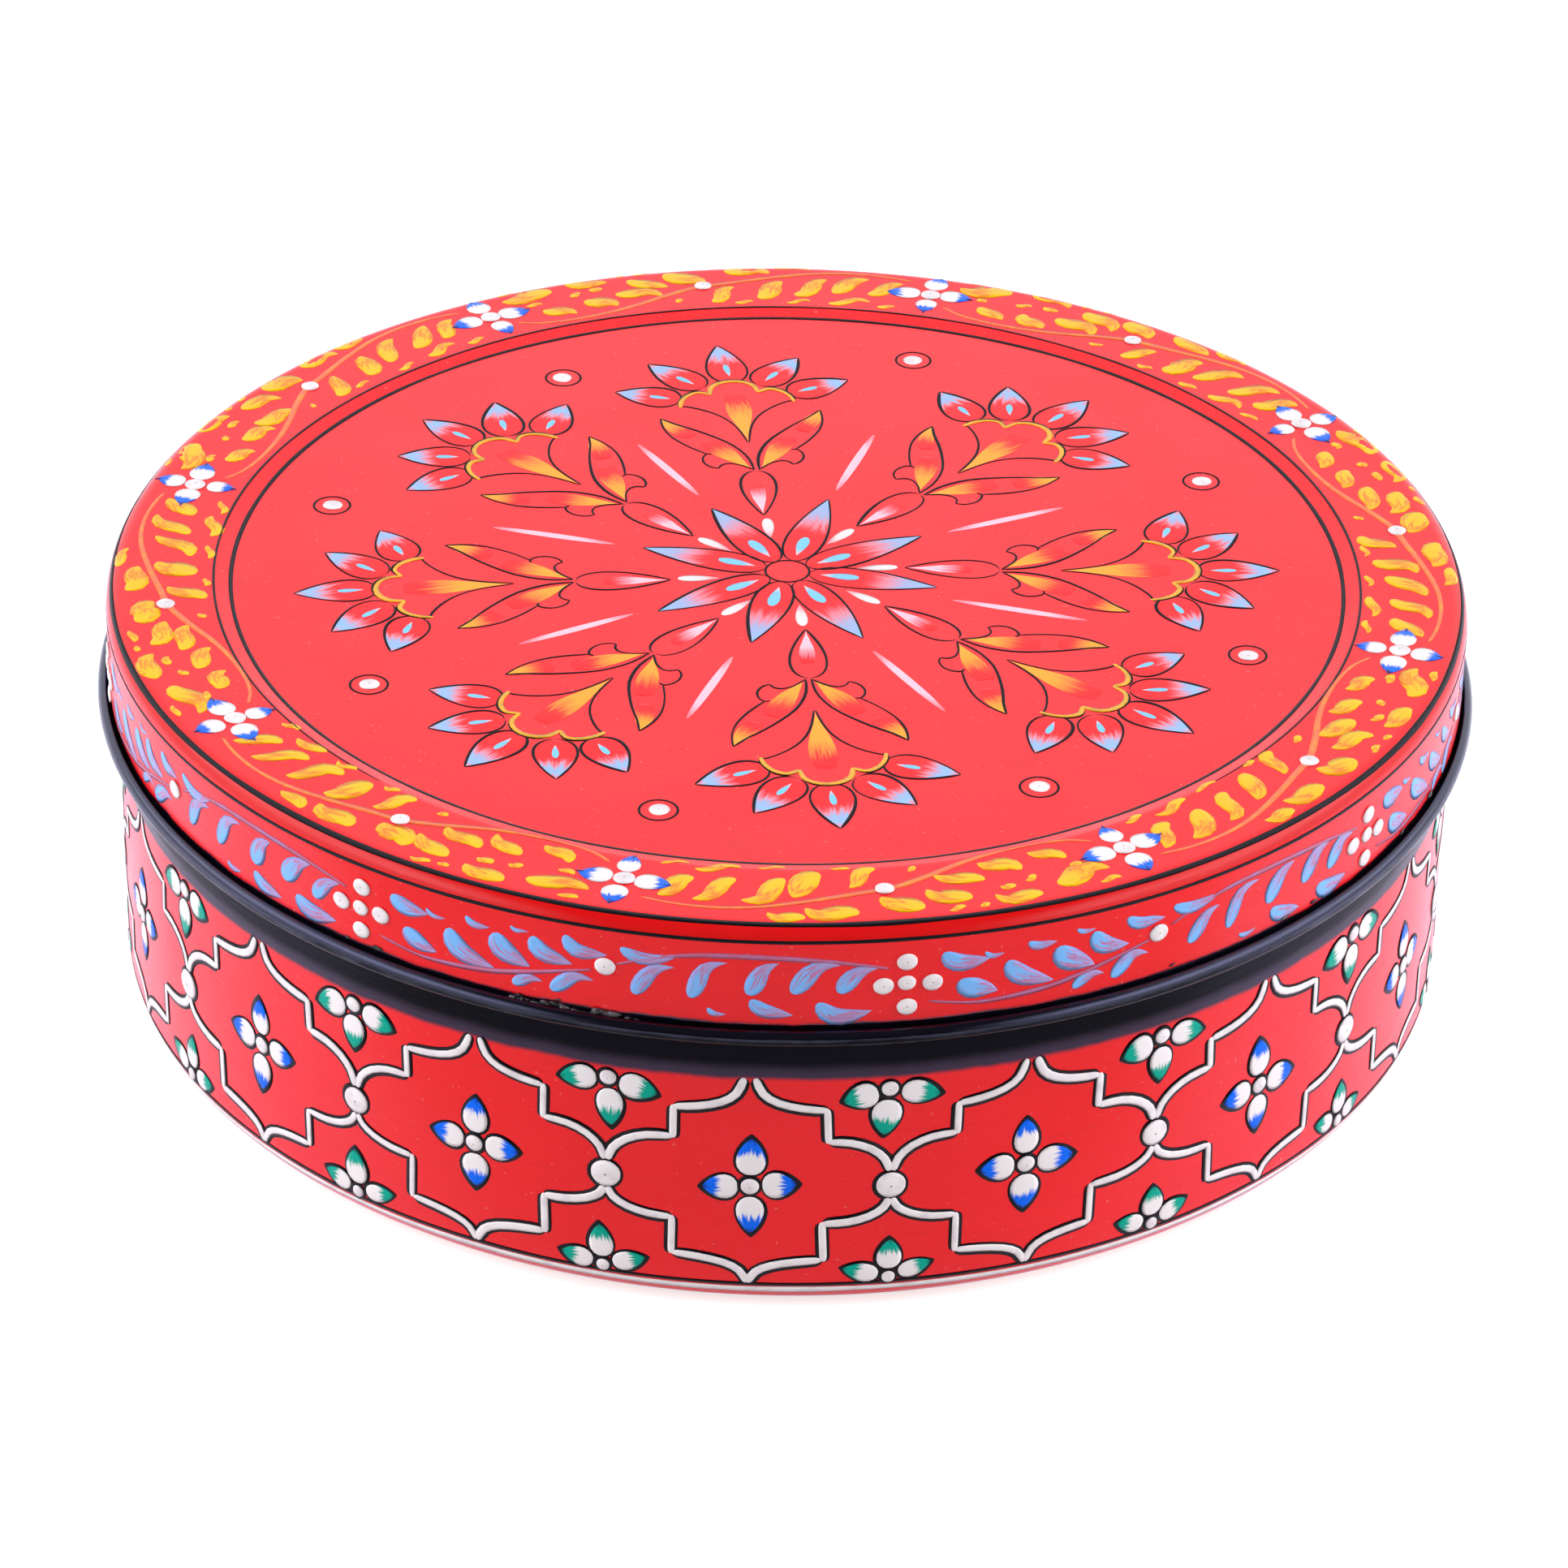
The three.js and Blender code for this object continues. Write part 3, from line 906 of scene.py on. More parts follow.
def paint_spray(coats, turn):
    place = turned_place(on_panel, turn)
    lines = coats["lid_fine_outlines"]
    petal_outline(lines, place, BUD_ROOT, BUD_TIP, BUD_WIDTH, bud_width)
    streak = bow(BUD_STREAK_START, aside(BUD_STREAK_END, 0.4))
    fill(coats["lid_bud_streaks"], place, streak, BUD_STREAK_WIDTH, wedge_width, 8)
    drip(coats["lid_white_drops"], place, aside(DROP_OUTER, 0.3), aside(DROP_INNER, 0.3), DROP_WIDTH)
    for side in (-1, 1):
        for points, width in SPRAY_LINES:
            fineness = 20 if points is LEAF_INNER_EDGE else 16
            line(lines, place, through(mirrored(points, side)), width, fineness)
        for points, width in SPRAY_STREAKS:
            streak = through(mirrored(points, side))
            fill(coats["lid_spray_leaves"], place, streak, width, wedge_width, 12)
        lip, off = mirrored(TRUMPET_SIDE_LIP, side), (SIDE_LIP_OFF[0], SIDE_LIP_OFF[1] * side)
        paint_lip(coats, place, lip, SIDE_LIP_WIDTH, SIDE_LIP_LINE, off)
    paint_lip(coats, place, TRUMPET_LIP, LIP_WIDTH, LIP_LINE, LIP_OFF)
    fill(coats["lid_trumpets"], place, bow(*TRUMPET_HEART), TRUMPET_HEART_WIDTH, wedge_width, 12)
    for root, tip in LOTUS_PETALS:
        root, tip = near(root, 0.25, 0.25), near(tip, 0.5, 0.5)
        petal_outline(lines, place, root, tip, LOTUS_PETAL_WIDTH)
        inside = bow(root, root.lerp(tip, LOTUS_FILL_END))
        fill(coats["lid_lotus_petals"], place, inside, LOTUS_FILL_WIDTH)
        outer, inner = root.lerp(tip, LOTUS_DROP_OUTER), root.lerp(tip, LOTUS_DROP_INNER)
        drip(coats["lid_blue_drops"], place, outer, inner, LOTUS_DROP_WIDTH)


def paint_panel(coats):
    for turn in SPRAY_TURNS:
        paint_spray(coats, turn)
    lines = coats["lid_fine_outlines"]
    ring_around(lines, on_panel, (0.0, 0.0), STAR_RING)
    for turn in STAR_TURNS:
        place = turned_place(on_panel, turn)
        root, tip = (STAR_CORE, 0.0), (STAR_TIP + wander(0.8), 0.0)
        petal_outline(lines, place, root, tip, STAR_WIDTH)
        fill(coats["lid_star_petals"], place, bow(root, tip), STAR_FILL_WIDTH)
        drip(coats["lid_blue_drops"], place, aside(STAR_DROP_OUTER, 0.3), STAR_DROP_INNER, STAR_DROP_WIDTH)
    for turn in RAY_TURNS:
        ray = bow(near(RAY_INNER, 1.0, 0.6), near(RAY_OUTER, 1.0, 0.6))
        fill(coats["lid_white_rays"], turned_place(on_panel, turn), ray, RAY_WIDTH, ray_width)
    for turn in RINGED_DOT_TURNS:
        place = turned_place(on_panel, turn)
        middle = (RINGED_DOT_OUT + wander(1.2), 0.0)
        dot(coats["lid_white_dots"], place, middle, RINGED_DOT_SIZE, RAISED_PAINT)
        ring_around(lines, place, near(middle, 0.15, 0.15), RINGED_DOT_RING)


# The lid's edge: one eighth of it, in millimetres along it and down from the step
EDGE_REPEATS = 8
EDGE_START = 31.2
REPEAT = tau * EDGE_RADIUS / EDGE_REPEATS
EDGE_DOT_SIZE = 1.4
BORDER_FLOWER = (0.0, 7.4)
# Petals of a flower: the way they point, their root, tip and width
BORDER_PETALS = ((0, 1.6, 6.9, 4.0), (90, 1.8, 6.4, 3.9), (180, 1.6, 6.9, 4.0), (270, 1.8, 6.2, 3.7))
BORDER_EYE = 1.6
FLICK_INSIDE, FLICK_OUTSIDE, FLICK_WIDTH = 1.5, 0.5, 0.5
BORDER_DOT = (38.0, 7.4)
BORDER_STEM_WIDTH = 0.95
BORDER_BEND, BORDER_WAVE = (-0.3, 0.3), 0.11
BORDER_STEM = (
    (3.4, 11.2), (8.0, 12.0), (14.0, 12.2), (20.0, 11.5), (27.0, 9.8), (33.5, 8.2),
    (38.5, 7.3), (44.0, 5.2), (50.0, 2.8), (56.0, 1.4), (62.5, 1.1), (68.0, 2.0), (71.6, 3.9),
)
# Leaves run from where the brush is set down to the tail: along and down at both ends, and the width
BORDER_LEAVES = (
    (9.9, 5.3, 5.3, 10.2, 3.5), (15.9, 4.8, 10.3, 10.5, 3.4), (22.9, 3.9, 17.3, 9.8, 3.4),
    (28.6, 2.8, 24.7, 8.8, 4.2), (37.0, 2.0, 32.7, 6.8, 3.0), (16.4, 1.5, 9.6, 2.4, 2.1),
    (23.6, 1.2, 19.5, 1.6, 1.3), (8.2, 1.4, 4.6, 2.0, 1.3), (33.0, 1.5, 30.0, 1.6, 1.2),
    (43.4, 2.6, 41.6, 3.2, 1.2), (25.9, 14.3, 20.6, 13.0, 2.5), (33.6, 13.2, 26.4, 11.5, 3.5),
    (42.6, 12.8, 37.1, 9.4, 4.5), (47.9, 13.7, 45.2, 14.0, 1.3), (49.6, 11.6, 43.2, 8.2, 3.5),
    (52.3, 7.6, 45.2, 5.0, 3.4), (58.1, 6.6, 53.0, 3.3, 3.3), (65.4, 6.0, 60.8, 2.9, 2.9),
    (67.2, 8.6, 65.0, 7.8, 1.4), (60.0, 8.8, 58.1, 9.3, 1.5), (51.0, 13.9, 49.4, 13.6, 1.3),
    (58.9, 13.5, 52.4, 11.8, 3.2), (62.0, 11.8, 70.4, 11.2, 4.1), (70.0, 14.0, 67.4, 13.8, 1.2),
    (56.0, 10.4, 53.6, 9.6, 1.6),
)
# The skirt's pattern is measured from a little below the end of the shoulder
SKIRT_START = (0.0, BORDER_WIDTH + SHOULDER_LENGTH + 1.2)
SKIRT_DOT = (0.0, 5.6)
# A cluster of five dots: their places and sizes
SKIRT_CLUSTER = (
    (39.3, 6.4, 1.2), (42.5, 6.4, 1.35), (36.1, 6.4, 1.35), (39.3, 10.0, 1.35), (39.3, 2.8, 1.35),
)
SKIRT_STEM_WIDTH = 0.75
SKIRT_BEND, SKIRT_WAVE = (-0.5, -0.2), 0.05
SKIRT_STEMS = (
    ((1.4, 5.0), (6.2, 3.2), (12.2, 2.0), (20.2, 1.8), (28.2, 2.3), (33.8, 3.2), (37.0, 3.9)),
    ((42.0, 9.6), (47.6, 10.6), (52.0, 10.6), (58.8, 9.9), (64.8, 8.5), (70.0, 7.1), (73.2, 6.3)),
)
SKIRT_LEAVES = (
    (4.4, 9.2, 9.2, 4.2, 2.9), (11.1, 8.8, 16.4, 3.0, 2.8), (18.8, 8.0, 22.8, 2.9, 3.0),
    (25.0, 7.7, 30.4, 2.9, 3.2), (31.0, 7.9, 35.6, 4.0, 2.9), (13.4, 10.6, 16.4, 11.0, 1.0),
    (19.4, 8.9, 24.8, 11.2, 2.8), (28.0, 9.2, 34.6, 10.4, 3.0), (44.0, 2.0, 49.8, 3.6, 3.2),
    (49.4, 2.6, 52.4, 3.3, 0.9), (55.2, 2.1, 59.2, 2.8, 1.5), (62.0, 1.6, 64.6, 2.0, 0.8),
    (65.0, 2.5, 70.2, 6.0, 2.8), (69.8, 1.6, 75.0, 3.5, 2.4), (46.2, 6.6, 51.4, 9.4, 3.3),
    (53.0, 4.4, 59.4, 9.1, 3.6), (60.0, 3.5, 65.0, 7.8, 3.4), (62.0, 11.0, 66.6, 9.8, 1.9),
    (67.4, 11.0, 73.0, 8.2, 2.7), (2.2, 1.8, 9.4, 2.4, 2.4),
)


def paint_vine(leaves, place, pattern, shape, bends, wave):
    """The loose leaves beside a stem, none quite like another."""
    for x, y, tail_x, tail_y, width in pattern:
        start, end = near((x, y), 0.4, 0.25), near((tail_x, tail_y), 0.4, 0.25)
        bend = PAINTER.uniform(*bends) * (1 if tail_y < y else -1)
        sweep = swash(start, end, bend, wave * PAINTER.uniform(0.3, 1.0))
        size = width * PAINTER.uniform(0.84, 1.1)
        stroke(leaves, place, sweep, size, shape, LINE_PAINT, 10)


def paint_stem(stems, place, points, width, along):
    stroke(stems, place, through(points), width, stem_width, LINE_PAINT, along, around=4, even=True)


def paint_border_flower(coats, place):
    for turn, root, tip, width in BORDER_PETALS:
        petal_place = turned_place(place, turn + wander(5), BORDER_FLOWER)
        petal = bow(aside((root, 0.0), 0.2), near((tip, 0.0), 0.3, 0.3))
        stroke(coats["lid_border_petals"], petal_place, petal, width, round_petal_width, RAISED_PAINT, 10, 8)
        flick = bow(aside((tip - FLICK_INSIDE, 0.0), 0.2), aside((tip + FLICK_OUTSIDE, 0.0), 0.2))
        stroke(coats["lid_petal_flicks"], petal_place, flick, FLICK_WIDTH, lens_width, RAISED_PAINT, 6, 4)
    dot(coats["lid_white_dots"], place, near(BORDER_FLOWER, 0.2, 0.2), BORDER_EYE, DOT_PAINT)


def paint_lid_edge(coats):
    for number in range(EDGE_REPEATS):
        start = radians(EDGE_START) * EDGE_RADIUS + REPEAT * number
        place = lambda along, down, lift, start=start: leaning(start + along, down, lift)
        paint_stem(coats["lid_border_stems"], place, BORDER_STEM, BORDER_STEM_WIDTH, 40)
        leaves = coats["lid_border_leaves"]
        paint_vine(leaves, place, BORDER_LEAVES, bean_width, BORDER_BEND, BORDER_WAVE)
        paint_border_flower(coats, place)
        dots = coats["lid_white_dots"]
        dot(dots, place, near(BORDER_DOT, 0.5, 0.3), EDGE_DOT_SIZE, DOT_PAINT)

        skirt = turned_place(place, 0, SKIRT_START)
        for points in SKIRT_STEMS:
            paint_stem(coats["lid_skirt_stems"], skirt, points, SKIRT_STEM_WIDTH, 24)
        leaves = coats["lid_skirt_leaves"]
        paint_vine(leaves, skirt, SKIRT_LEAVES, comma_width, SKIRT_BEND, SKIRT_WAVE)
        dot(dots, skirt, near(SKIRT_DOT, 0.4, 0.3), EDGE_DOT_SIZE, DOT_PAINT)
        for x, y, size in SKIRT_CLUSTER:
            dot(dots, skirt, near((x, y), 0.2, 0.2), size, DOT_PAINT)


# Lines round the lid, down from the step, with their widths
LID_LINES = ((15.7, 0.85), (18.3, 0.5))
STEP_LINE, STEP_LINE_WIDTH = -STEP_WIDTH, 0.6
BORDER_LINE, BORDER_LINE_WIDTH, BORDER_LINE_ENDS = 0.15, 0.42, (-0.125, 0.635)
BEAD_EDGE = 29.8
BEAD_LUMPS = 52
BEAD_CRUST = 22
BEAD_CRUST_EDGE = 30.9
BEAD_CRUST_TURN = (-112.0, -102.0)
CRUST_SIZE = 1.6
LUMP_LENGTHS, LUMP_WIDTHS, LUMP_HEIGHTS = (0.8, 2.6), (0.4, 1.0), (0.2, 0.6)


def paint_lid_lines(coats):
    girth = tau * EDGE_RADIUS
    lines = coats["lid_ring_lines"]
    for down, width in LID_LINES:
        ring_line(lines, leaning, girth, down, width)
    ring_line(lines, on_lid_edge, girth, STEP_LINE, STEP_LINE_WIDTH)
    ring_line(lines, on_lid_edge, girth, BORDER_LINE, BORDER_LINE_WIDTH, *BORDER_LINE_ENDS)
    crust = [radians(turn) * EDGE_RADIUS for turn in BEAD_CRUST_TURN]
    for number in range(BEAD_LUMPS):
        in_crust = number < BEAD_CRUST
        along = PAINTER.uniform(*crust) if in_crust else PAINTER.uniform(0, girth)
        start = Vector((along, (BEAD_CRUST_EDGE if in_crust else BEAD_EDGE) + wander(0.5)))
        lump = bow(start, start + Vector((PAINTER.uniform(*LUMP_LENGTHS), wander(0.3))))
        size = CRUST_SIZE if in_crust else 1.0
        width = size * PAINTER.uniform(*LUMP_WIDTHS)
        height = size * PAINTER.uniform(*LUMP_HEIGHTS)
        stroke(coats["lid_bead_lumps"], on_lid_edge, lump, width, round_petal_width, height, 6)


# The box's wall: cells of a trellis, in millimetres along it and up from the table
CELLS = 16
FRONT_NODE = -80.8
FRONT_SWELL = 0.022
NODE_HEIGHT = 21.0
NODE_SIZE = 2.25
TRELLIS_LINE = 1.2
TRELLIS_EDGE = 0.95
TRELLIS_UPPER = {"arch": 7.8, "step": 12.6, "cusp": 18.2, "parting": 0.75}
TRELLIS_LOWER = {"arch": -6.0, "step": -12.2, "cusp": -16.4, "parting": 0.0}
TRELLIS_STEP = 0.485
TRELLIS_STEP_OVERLAP, TRELLIS_STEP_THINNING = 0.3, 0.85
TRELLIS_NODE_GAP = 2.3
# Points of the two arches, as shares of their run and their rise
FIRST_ARCH = ((0.012, 0.0), (0.05, 0.4), (0.15, 0.74), (0.3, 0.95))
SECOND_ARCH = ((0.0, 0.0), (0.36, 0.08), (0.68, 0.24), (0.89, 0.52), (1.0, 1.0))
UNEVEN_SIZE = (0.92, 1.08)
# Petals of the flowers and trefoils: the way they point, their root, tip and width
FLOWER_PETALS = ((0, 1.7, 6.9, 4.3), (90, 1.8, 7.6, 4.1), (180, 1.7, 6.9, 4.3), (270, 1.8, 7.6, 4.1))
UPPER_TREFOIL = ((-14, 1.7, 7.0, 4.1), (194, 1.7, 7.0, 4.1), (270, 1.9, 7.8, 4.1))
LOWER_TREFOIL = ((16, 1.5, 6.4, 3.1), (164, 1.5, 6.4, 3.1), (90, 1.3, 6.6, 3.9))
FLOWER_HEIGHT, FLOWER_EYE = NODE_HEIGHT + 0.3, 1.3
# Trefoils with their heights and the sizes of their eyes
TREFOILS = ((UPPER_TREFOIL, 37.2, 1.2), (LOWER_TREFOIL, 5.3, 0.95))
# How far black outlines stand out past petals and eyes
OUTLINE_ROOT, OUTLINE_TIP, OUTLINE_WIDTH, EYE_EDGE = 0.35, 0.75, 0.85, 0.5
WALL_LINES = ((4.35, 0.6, "box_ring_lines"), (3.3, 1.15, "box_white_line"))


def along_wall(cells):
    """Along the wall, counted in cells from a node near the front, where they are a little wider."""
    turn = tau * cells / CELLS
    return (radians(FRONT_NODE) + turn + FRONT_SWELL * sin(turn)) * BOX_RADIUS


def trellis_line(coats, curve, width):
    """A raised white line over a wider black one."""
    off = near((0.0, 0.0), 0.12, 0.12)
    under = lambda share: curve(share) + off
    stroke(coats["box_trellis_outline"], on_wall, under, width + TRELLIS_EDGE, line_width, LINE_PAINT, 12)
    stroke(coats["box_trellis"], on_wall, curve, width, line_width, RAISED_PAINT, 12)


def paint_trellis_quarter(coats, node, cusp, heights):
    """From a node to the cusp over the middle of a cell: an arch, an upright step and a second arch."""
    cusp -= copysign(heights["parting"], cusp - node)
    run = cusp - node
    up = copysign(1.0, heights["arch"])
    step_x = node + run * (TRELLIS_STEP + wander(0.025))
    arch_y = NODE_HEIGHT + heights["arch"] + wander(0.35)
    step_y = NODE_HEIGHT + heights["step"] + wander(0.35)
    cusp_y = NODE_HEIGHT + heights["cusp"]
    start_y = NODE_HEIGHT + up * TRELLIS_NODE_GAP
    rise = arch_y - start_y
    arch = [(node + run * x, start_y + rise * y) for x, y in FIRST_ARCH] + [(step_x, arch_y)]
    rise = cusp_y - step_y
    rest = cusp - step_x
    second = [(step_x + rest * x, step_y + rise * y) for x, y in SECOND_ARCH]
    width = TRELLIS_LINE * PAINTER.uniform(0.88, 1.12)
    trellis_line(coats, through(arch), width)
    past = up * TRELLIS_STEP_OVERLAP
    step = bow((step_x, arch_y - past), (step_x + wander(0.3), step_y + past))
    trellis_line(coats, step, width * TRELLIS_STEP_THINNING)
    trellis_line(coats, through(second), width)


def paint_wall_petal(coats, petals, place, root, tip, width):
    """A thick white petal with a coloured tip, in a black outline."""
    tip += wander(0.4)
    width *= PAINTER.uniform(*UNEVEN_SIZE)
    off = near((0.0, 0.0), 0.15, 0.15)
    under = bow(off + Vector((root - OUTLINE_ROOT, 0.0)), off + Vector((tip + OUTLINE_TIP, 0.0)))
    outlines = coats["box_petal_outlines"]
    stroke(outlines, place, under, width + OUTLINE_WIDTH, round_petal_width, LINE_PAINT, 10, 6)
    stroke(coats[petals], place, bow((root, 0), (tip, 0)), width, round_petal_width, RAISED_PAINT, 10, 8)


def paint_eye(coats, middle, radius):
    place = turned_place(on_wall, 0, middle)
    dot(coats["box_petal_outlines"], place, near((0, 0), 0.12, 0.12), radius + EYE_EDGE, THICK_PAINT)
    dot(coats["box_white_dots"], place, (0, 0), radius, DOT_PAINT)


def paint_flower(coats, petals, middle, pattern, sway, eye):
    """Petals round an eye, each turned a little off its way."""
    for turn, root, tip, width in pattern:
        place = turned_place(on_wall, turn + wander(sway), middle)
        paint_wall_petal(coats, petals, place, root, tip, width)
    paint_eye(coats, middle, eye)


def paint_wall(coats):
    for cell in range(CELLS):
        node, after = along_wall(cell), along_wall(cell + 1)
        cusp = along_wall(cell + 0.5) + wander(0.5)
        for heights in (TRELLIS_UPPER, TRELLIS_LOWER):
            paint_trellis_quarter(coats, node, cusp, heights)
            paint_trellis_quarter(coats, after, cusp, heights)
        middle = near((along_wall(cell + 0.5), FLOWER_HEIGHT), 0.5, 0.3)
        paint_flower(coats, "box_blue_petals", middle, FLOWER_PETALS, 4, FLOWER_EYE)
        paint_eye(coats, (node, NODE_HEIGHT), NODE_SIZE * PAINTER.uniform(*UNEVEN_SIZE))
        for pattern, height, eye in TREFOILS:
            paint_flower(coats, "box_green_petals", (node + wander(0.5), height), pattern, 5, eye)
    for height, width, name in WALL_LINES:
        ring_line(coats[name], on_wall, tau * BOX_RADIUS, height, width)


def paint_lid():
    coats = Coats("lid")
    paint_panel(coats)
    paint_lid_edge(coats)
    paint_lid_lines(coats)
    lotus = (
        (0.47, RED, 0.0), (0.61, PINK, 0.5), (0.72, PALE_BLUE, 0.85), (0.89, PALE_BLUE, 1.0),
        (0.97, PINK, 0.5),
    )
    star = ((0.43, RED, 0.0), (0.58, PINK, 0.5), (0.74, PALE_BLUE, 0.8), (1.0, PALE_BLUE, 0.97))
    bud = ((0.05, PALE_PINK, 0.95), (0.5, PALE_PINK, 0.9), (0.62, PINK, 0.7), (0.85, PINK, 0.0))
    spray_leaf = ((0.1, GOLD, 0.95), (0.45, GOLD, 0.85), (0.62, ORANGE, 0.75), (0.8, RED, 0.0))
    trumpet = ((0.05, GOLD, 0.95), (0.5, GOLD, 0.88), (0.7, ORANGE, 0.75), (0.85, RED, 0.0))
    ray = ((0.04, PINK, 0.5), (0.25, PALE_PINK, 0.95), (0.75, PALE_PINK, 0.9), (0.96, PINK, 0.4))
    drop = ((0.1, DROP_BLUE, 1.0), (0.65, DROP_BLUE, 0.95), (0.95, WHITE, 0.7))
    white_drop = ((0.2, WHITE, 1.0), (0.6, WHITE, 0.9), (0.95, PINK, 0.6))
    border_leaf = ((0.1, YELLOW, 1.0), (0.44, YELLOW, 0.93), (0.62, ORANGE, 0.75), (0.8, YELLOW, 0.88))
    skirt_leaf = (
        (0.1, LIGHT_BLUE, 0.97), (0.42, LIGHT_BLUE, 0.93), (0.6, MAUVE, 0.7), (0.9, LIGHT_BLUE, 0.72),
    )
    border_petal = tipped(0.55, 0.66, BLUE, NAVY)
    coats.finish(
        black_enamel={
            "lid_fine_outlines": black_line("fine_line_paint", 0.5, 0.12),
            "lid_ring_lines": black_line("ring_line_paint"),
            "lid_bead_lumps": plain_paint("bead_paint", BLACK, CRUST_GREY, 0.22),
            "lid_petal_flicks": plain_paint("flick_paint", NAVY, BLACK, 0.3),
        },
        pink_enamel={
            "lid_bud_streaks": streaked_paint("bud_paint", 8.0, 0.4, bud),
            "lid_white_rays": streaked_paint("ray_paint", 6.0, 0.5, ray),
        },
        yellow_enamel={
            "lid_spray_leaves": streaked_paint("spray_leaf_paint", 8.0, 0.35, spray_leaf),
            "lid_trumpets": streaked_paint("trumpet_paint", 12.0, 0.5, trumpet),
            "lid_trumpet_lips": plain_paint("lip_paint", GOLD, OLIVE, 0.3),
            "lid_border_stems": plain_paint("border_stem_paint", STEM_ORANGE, ORANGE, 0.3),
            "lid_border_leaves": streaked_paint("border_leaf_paint", 6.0, 1.5, border_leaf),
        },
        blue_enamel={
            "lid_lotus_petals": streaked_paint("lotus_petal_paint", 10.0, 0.5, lotus),
            "lid_star_petals": streaked_paint("star_petal_paint", 10.0, 0.3, star),
            "lid_blue_drops": streaked_paint("drop_paint", 4.0, 0.3, drop),
            "lid_skirt_stems": plain_paint("skirt_stem_paint", STEM_MAUVE, MAUVE, 0.3),
            "lid_skirt_leaves": streaked_paint("skirt_leaf_paint", 10.0, 2.6, skirt_leaf, rim=RIM_BLUE),
        },
        white_enamel={
            "lid_white_drops": streaked_paint("white_drop_paint", 4.0, 0.3, white_drop),
            "lid_white_dots": dotted_paint("lid_dot_paint"),
            "lid_border_petals": streaked_paint("border_petal_paint", 11.0, 0.6, border_petal),
        },
    )


def paint_box():
    coats = Coats("box")
    paint_wall(coats)
    blue, green = tipped(0.5, 0.64, BLUE, NAVY), tipped(0.5, 0.64, GREEN, DEEP_GREEN)
    coats.finish(
        black_enamel={
            "box_trellis_outline": black_line("trellis_outline_paint"),
            "box_petal_outlines": black_line("petal_outline_paint"),
            "box_ring_lines": black_line("base_line_paint"),
        },
        white_enamel={
            "box_trellis": plain_paint("trellis_paint", WHITE, WHITE_SHADE, 0.36),
            "box_blue_petals": streaked_paint("blue_petal_paint", 12.0, 0.6, blue, 0.1),
            "box_white_dots": dotted_paint("box_dot_paint"),
            "box_white_line": plain_paint("white_line_paint", WHITE, WHITE_SHADE, 0.34),
        },
        green_enamel={"box_green_petals": streaked_paint("green_petal_paint", 12.0, 0.6, green, 0.1)},
    )


# Studio, in metres

CAMERA_TARGET = (0.0, 0.0, 0.030)
CAMERA_ELEVATION = 31.0
CAMERA_DISTANCE = 0.9684
CAMERA_ROLL = 1.04
FOCAL_PIXELS = 7834.3
FRAME_PIXELS = 1932.0
FRAME_OFFSET = (0.15, -26.9)
SENSOR_WIDTH = 36.0
SOFTBOX_PLACE, SOFTBOX_SIZE, SOFTBOX_POWER = Vector((1.55, -0.2, 0.8)), 1.2, 27.0
AMBIENT = 0.52
ROOM_DARK, ROOM_WHITE, LAMP_GAIN = 0.03, 1.2, 2.2
COOL = (1.0, 1.0, 1.08, 1.0)
COOL_FLOOR = (1.0, 1.0, 1.4, 1.0)
FLOOR_SIZE, FLOOR_DROP = 4.0, 0.0003
FLOOR_GREY, FLOOR_PALE = colour(206, 206, 206), colour(210, 210, 210)
FLOOR_GLOW, FLOOR_GLOW_FRONT = 0.68, (-0.13, -0.07)


def make_camera():
    data = bpy.data.cameras.new("camera")
    data.sensor_width = SENSOR_WIDTH
    data.lens = SENSOR_WIDTH * FOCAL_PIXELS / FRAME_PIXELS
    data.shift_x = FRAME_OFFSET[0] / FRAME_PIXELS
    data.shift_y = FRAME_OFFSET[1] / FRAME_PIXELS
    elevation = radians(CAMERA_ELEVATION)
    back = Vector((0.0, -cos(elevation), sin(elevation)))
    camera = placed("camera", data)
    camera.location = Vector(CAMERA_TARGET) + back * CAMERA_DISTANCE
    roll = Quaternion((0, 0, 1), radians(CAMERA_ROLL))
    camera.rotation_mode = "QUATERNION"
    camera.rotation_quaternion = (-back).to_track_quat("-Z", "Y") @ roll
    bpy.context.scene.camera = camera


def softbox(name, side):
    """A soft lamp that faces the box from one side and leaves no glare on its gloss."""
    data = bpy.data.lights.new(name, "AREA")
    data.size = SOFTBOX_SIZE
    data.energy = SOFTBOX_POWER
    lamp = placed(name, data)
    lamp.location = SOFTBOX_PLACE * Vector((side, 1, 1))
    lamp.visible_glossy = False
    lamp.rotation_euler = (-lamp.location).to_track_quat("-Z", "Y").to_euler()


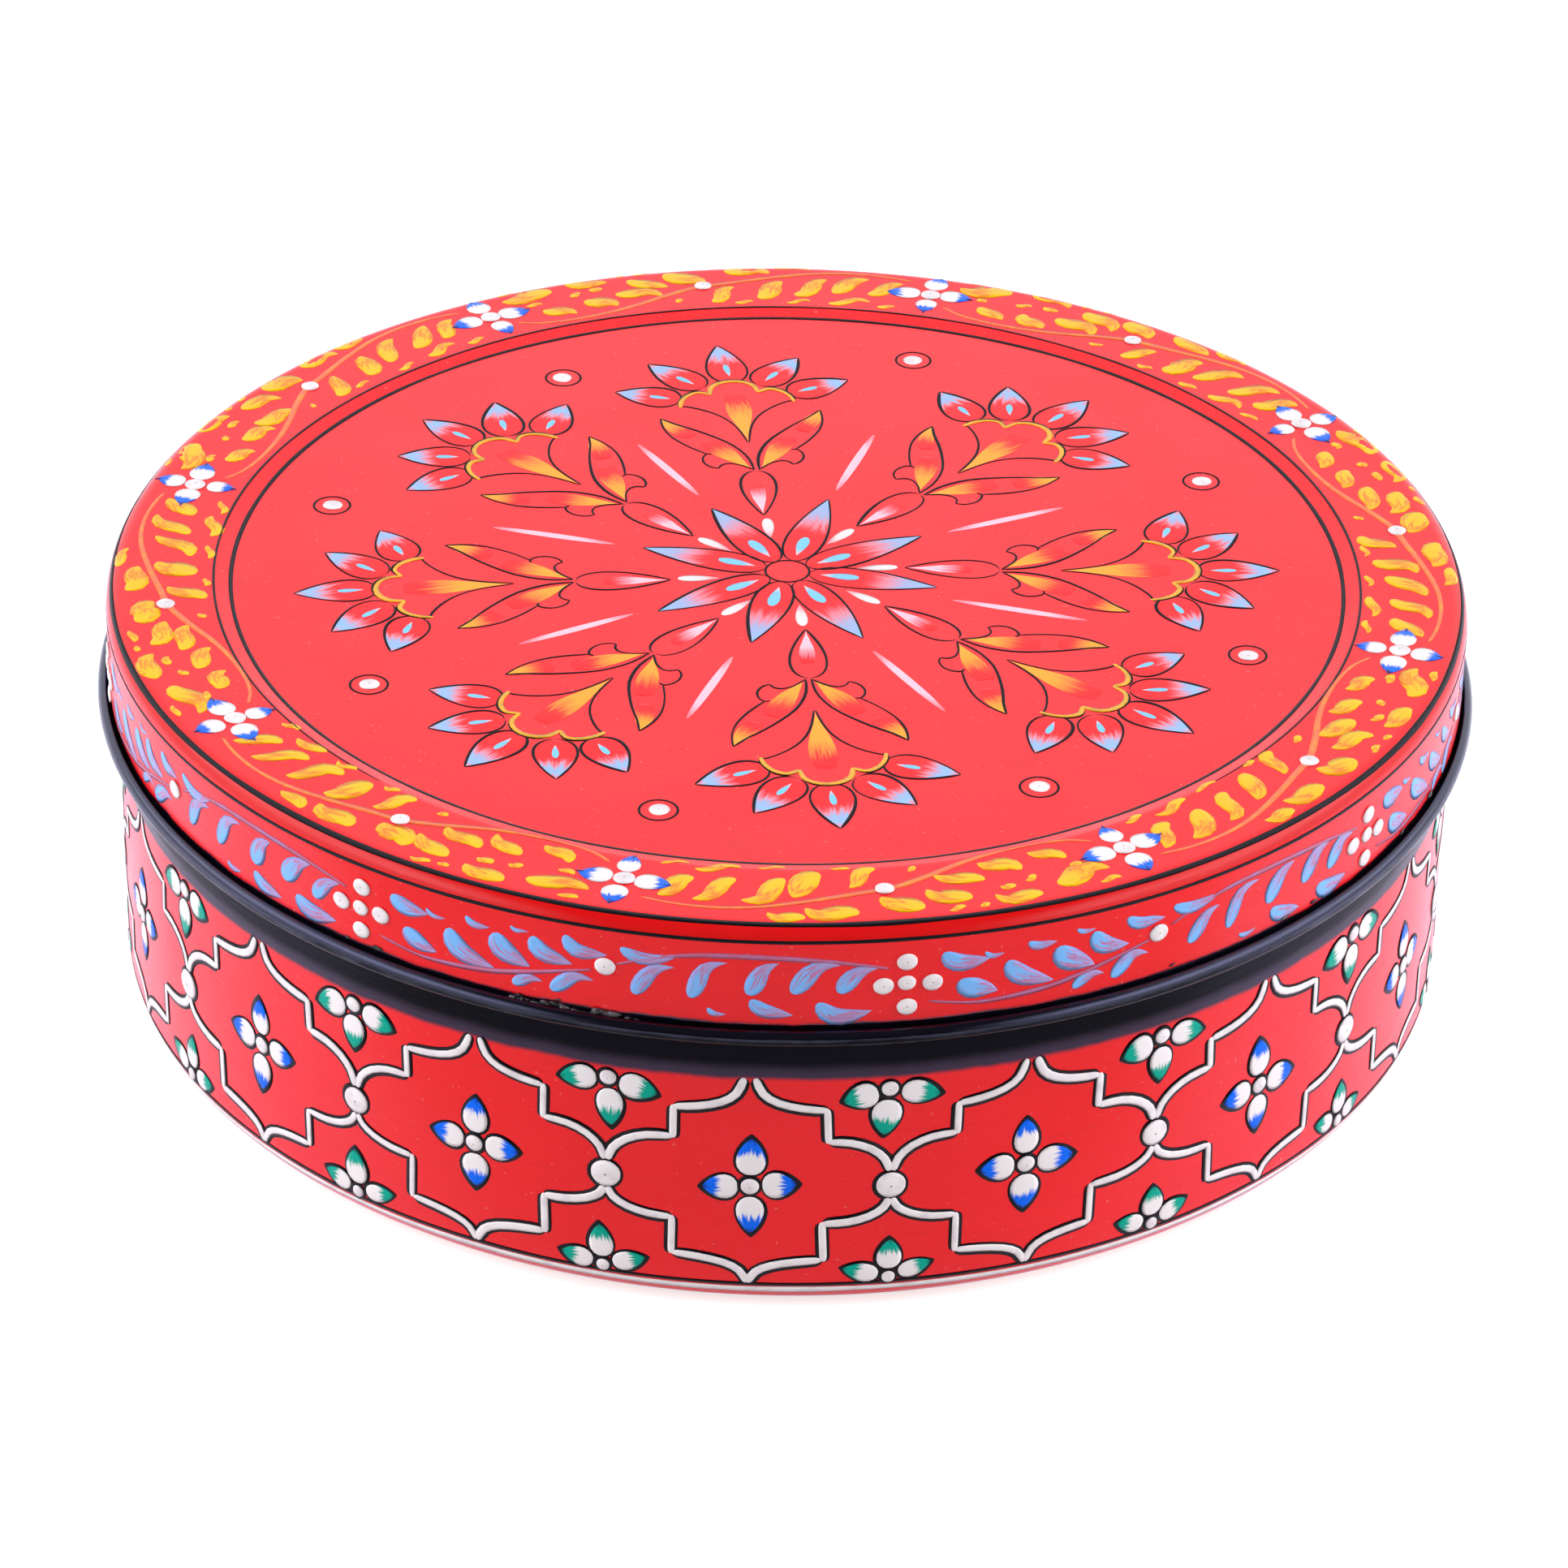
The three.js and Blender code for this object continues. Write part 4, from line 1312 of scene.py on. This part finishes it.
def make_world():
    """White to look at.

    Reflections see white behind the box, lamps high beside it and a dark room over the camera.
    """
    world = bpy.data.worlds.new("studio")
    world.use_nodes = True
    bpy.context.scene.world = world
    tree, background = world.node_tree, world.node_tree.nodes["Background"]
    path = add(tree, "ShaderNodeLightPath").outputs
    mirrored_ray = reckon("MAXIMUM", path["Is Glossy Ray"], path["Is Transmission Ray"])
    right, back, up = parts_of(add(tree, "ShaderNodeTexCoord").outputs["Generated"])
    behind = ranged(back, 0.1, 0.36, ROOM_DARK, ROOM_WHITE)
    beside = ranged(reckon("MULTIPLY", right, right), 0.15, 0.5, ROOM_DARK, ROOM_WHITE)
    lamps = reckon("MULTIPLY", beside, ranged(up, 0.3, 0.5, 1.0, LAMP_GAIN))
    light = mixed(mirrored_ray, AMBIENT, reckon("MAXIMUM", behind, lamps))
    feed(background, "Color", blended(mirrored_ray, DAYLIGHT, COOL))
    feed(background, "Strength", reckon("MAXIMUM", light, path["Is Camera Ray"]))


def make_floor():
    material, shader, place = finish("pale_floor", {"Roughness": 0.9, "Specular IOR Level": 0.0})
    feed(shader, "Base Color", blended(cloud(place, 3.0, 2.0), FLOOR_GREY, FLOOR_PALE))
    path = add(shader.id_data, "ShaderNodeLightPath").outputs
    in_view = ranged(parts_of(place)[1], *FLOOR_GLOW_FRONT)
    mirrored_glow = reckon("MULTIPLY", path["Is Glossy Ray"], in_view)
    feed(shader, "Emission Color", blended(mirrored_glow, DAYLIGHT, COOL_FLOOR))
    seen = reckon("MAXIMUM", path["Is Camera Ray"], mirrored_glow)
    feed(shader, "Emission Strength", ranged(seen, 0.0, 1.0, 0.0, FLOOR_GLOW))
    bm = bmesh.new()
    bmesh.ops.create_grid(bm, x_segments=1, y_segments=1, size=FLOOR_SIZE)
    bmesh.ops.translate(bm, verts=bm.verts[:], vec=(0, 0, -FLOOR_DROP))
    floor = meshed("floor", bm, [material])


def main():
    bpy.context.scene.view_settings.view_transform = "Standard"
    make_camera()
    make_world()
    make_floor()
    softbox("left_softbox", -1)
    softbox("right_softbox", 1)
    inside = brushed_steel("inside_steel", (90, 90, 1500), (0.22, 0.42))
    # The box's black band has a painted blue-grey sheen at its lower edge and painted shade under the lid's
    # bead
    make_box_shell([shell_enamel("box_enamel", red_coat, BLACK_PAINTED_SHEEN, **BOX_BAND), inside])
    make_lid_shell([shell_enamel("lid_enamel", lid_red_with_shoulder_shade, BLACK, **LID_BEAD), inside])
    cup_steel = brushed_steel("cup_steel", (140, 140, 2200), (0.16, 0.32))
    for node in sorted(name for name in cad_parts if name.startswith("cup_")):
        make_cup(node, cup_steel)
    make_spoon(brushed_steel("spoon_steel", (60, 1600, 1600), (0.16, 0.34)))
    paint_box()
    paint_lid()


main()
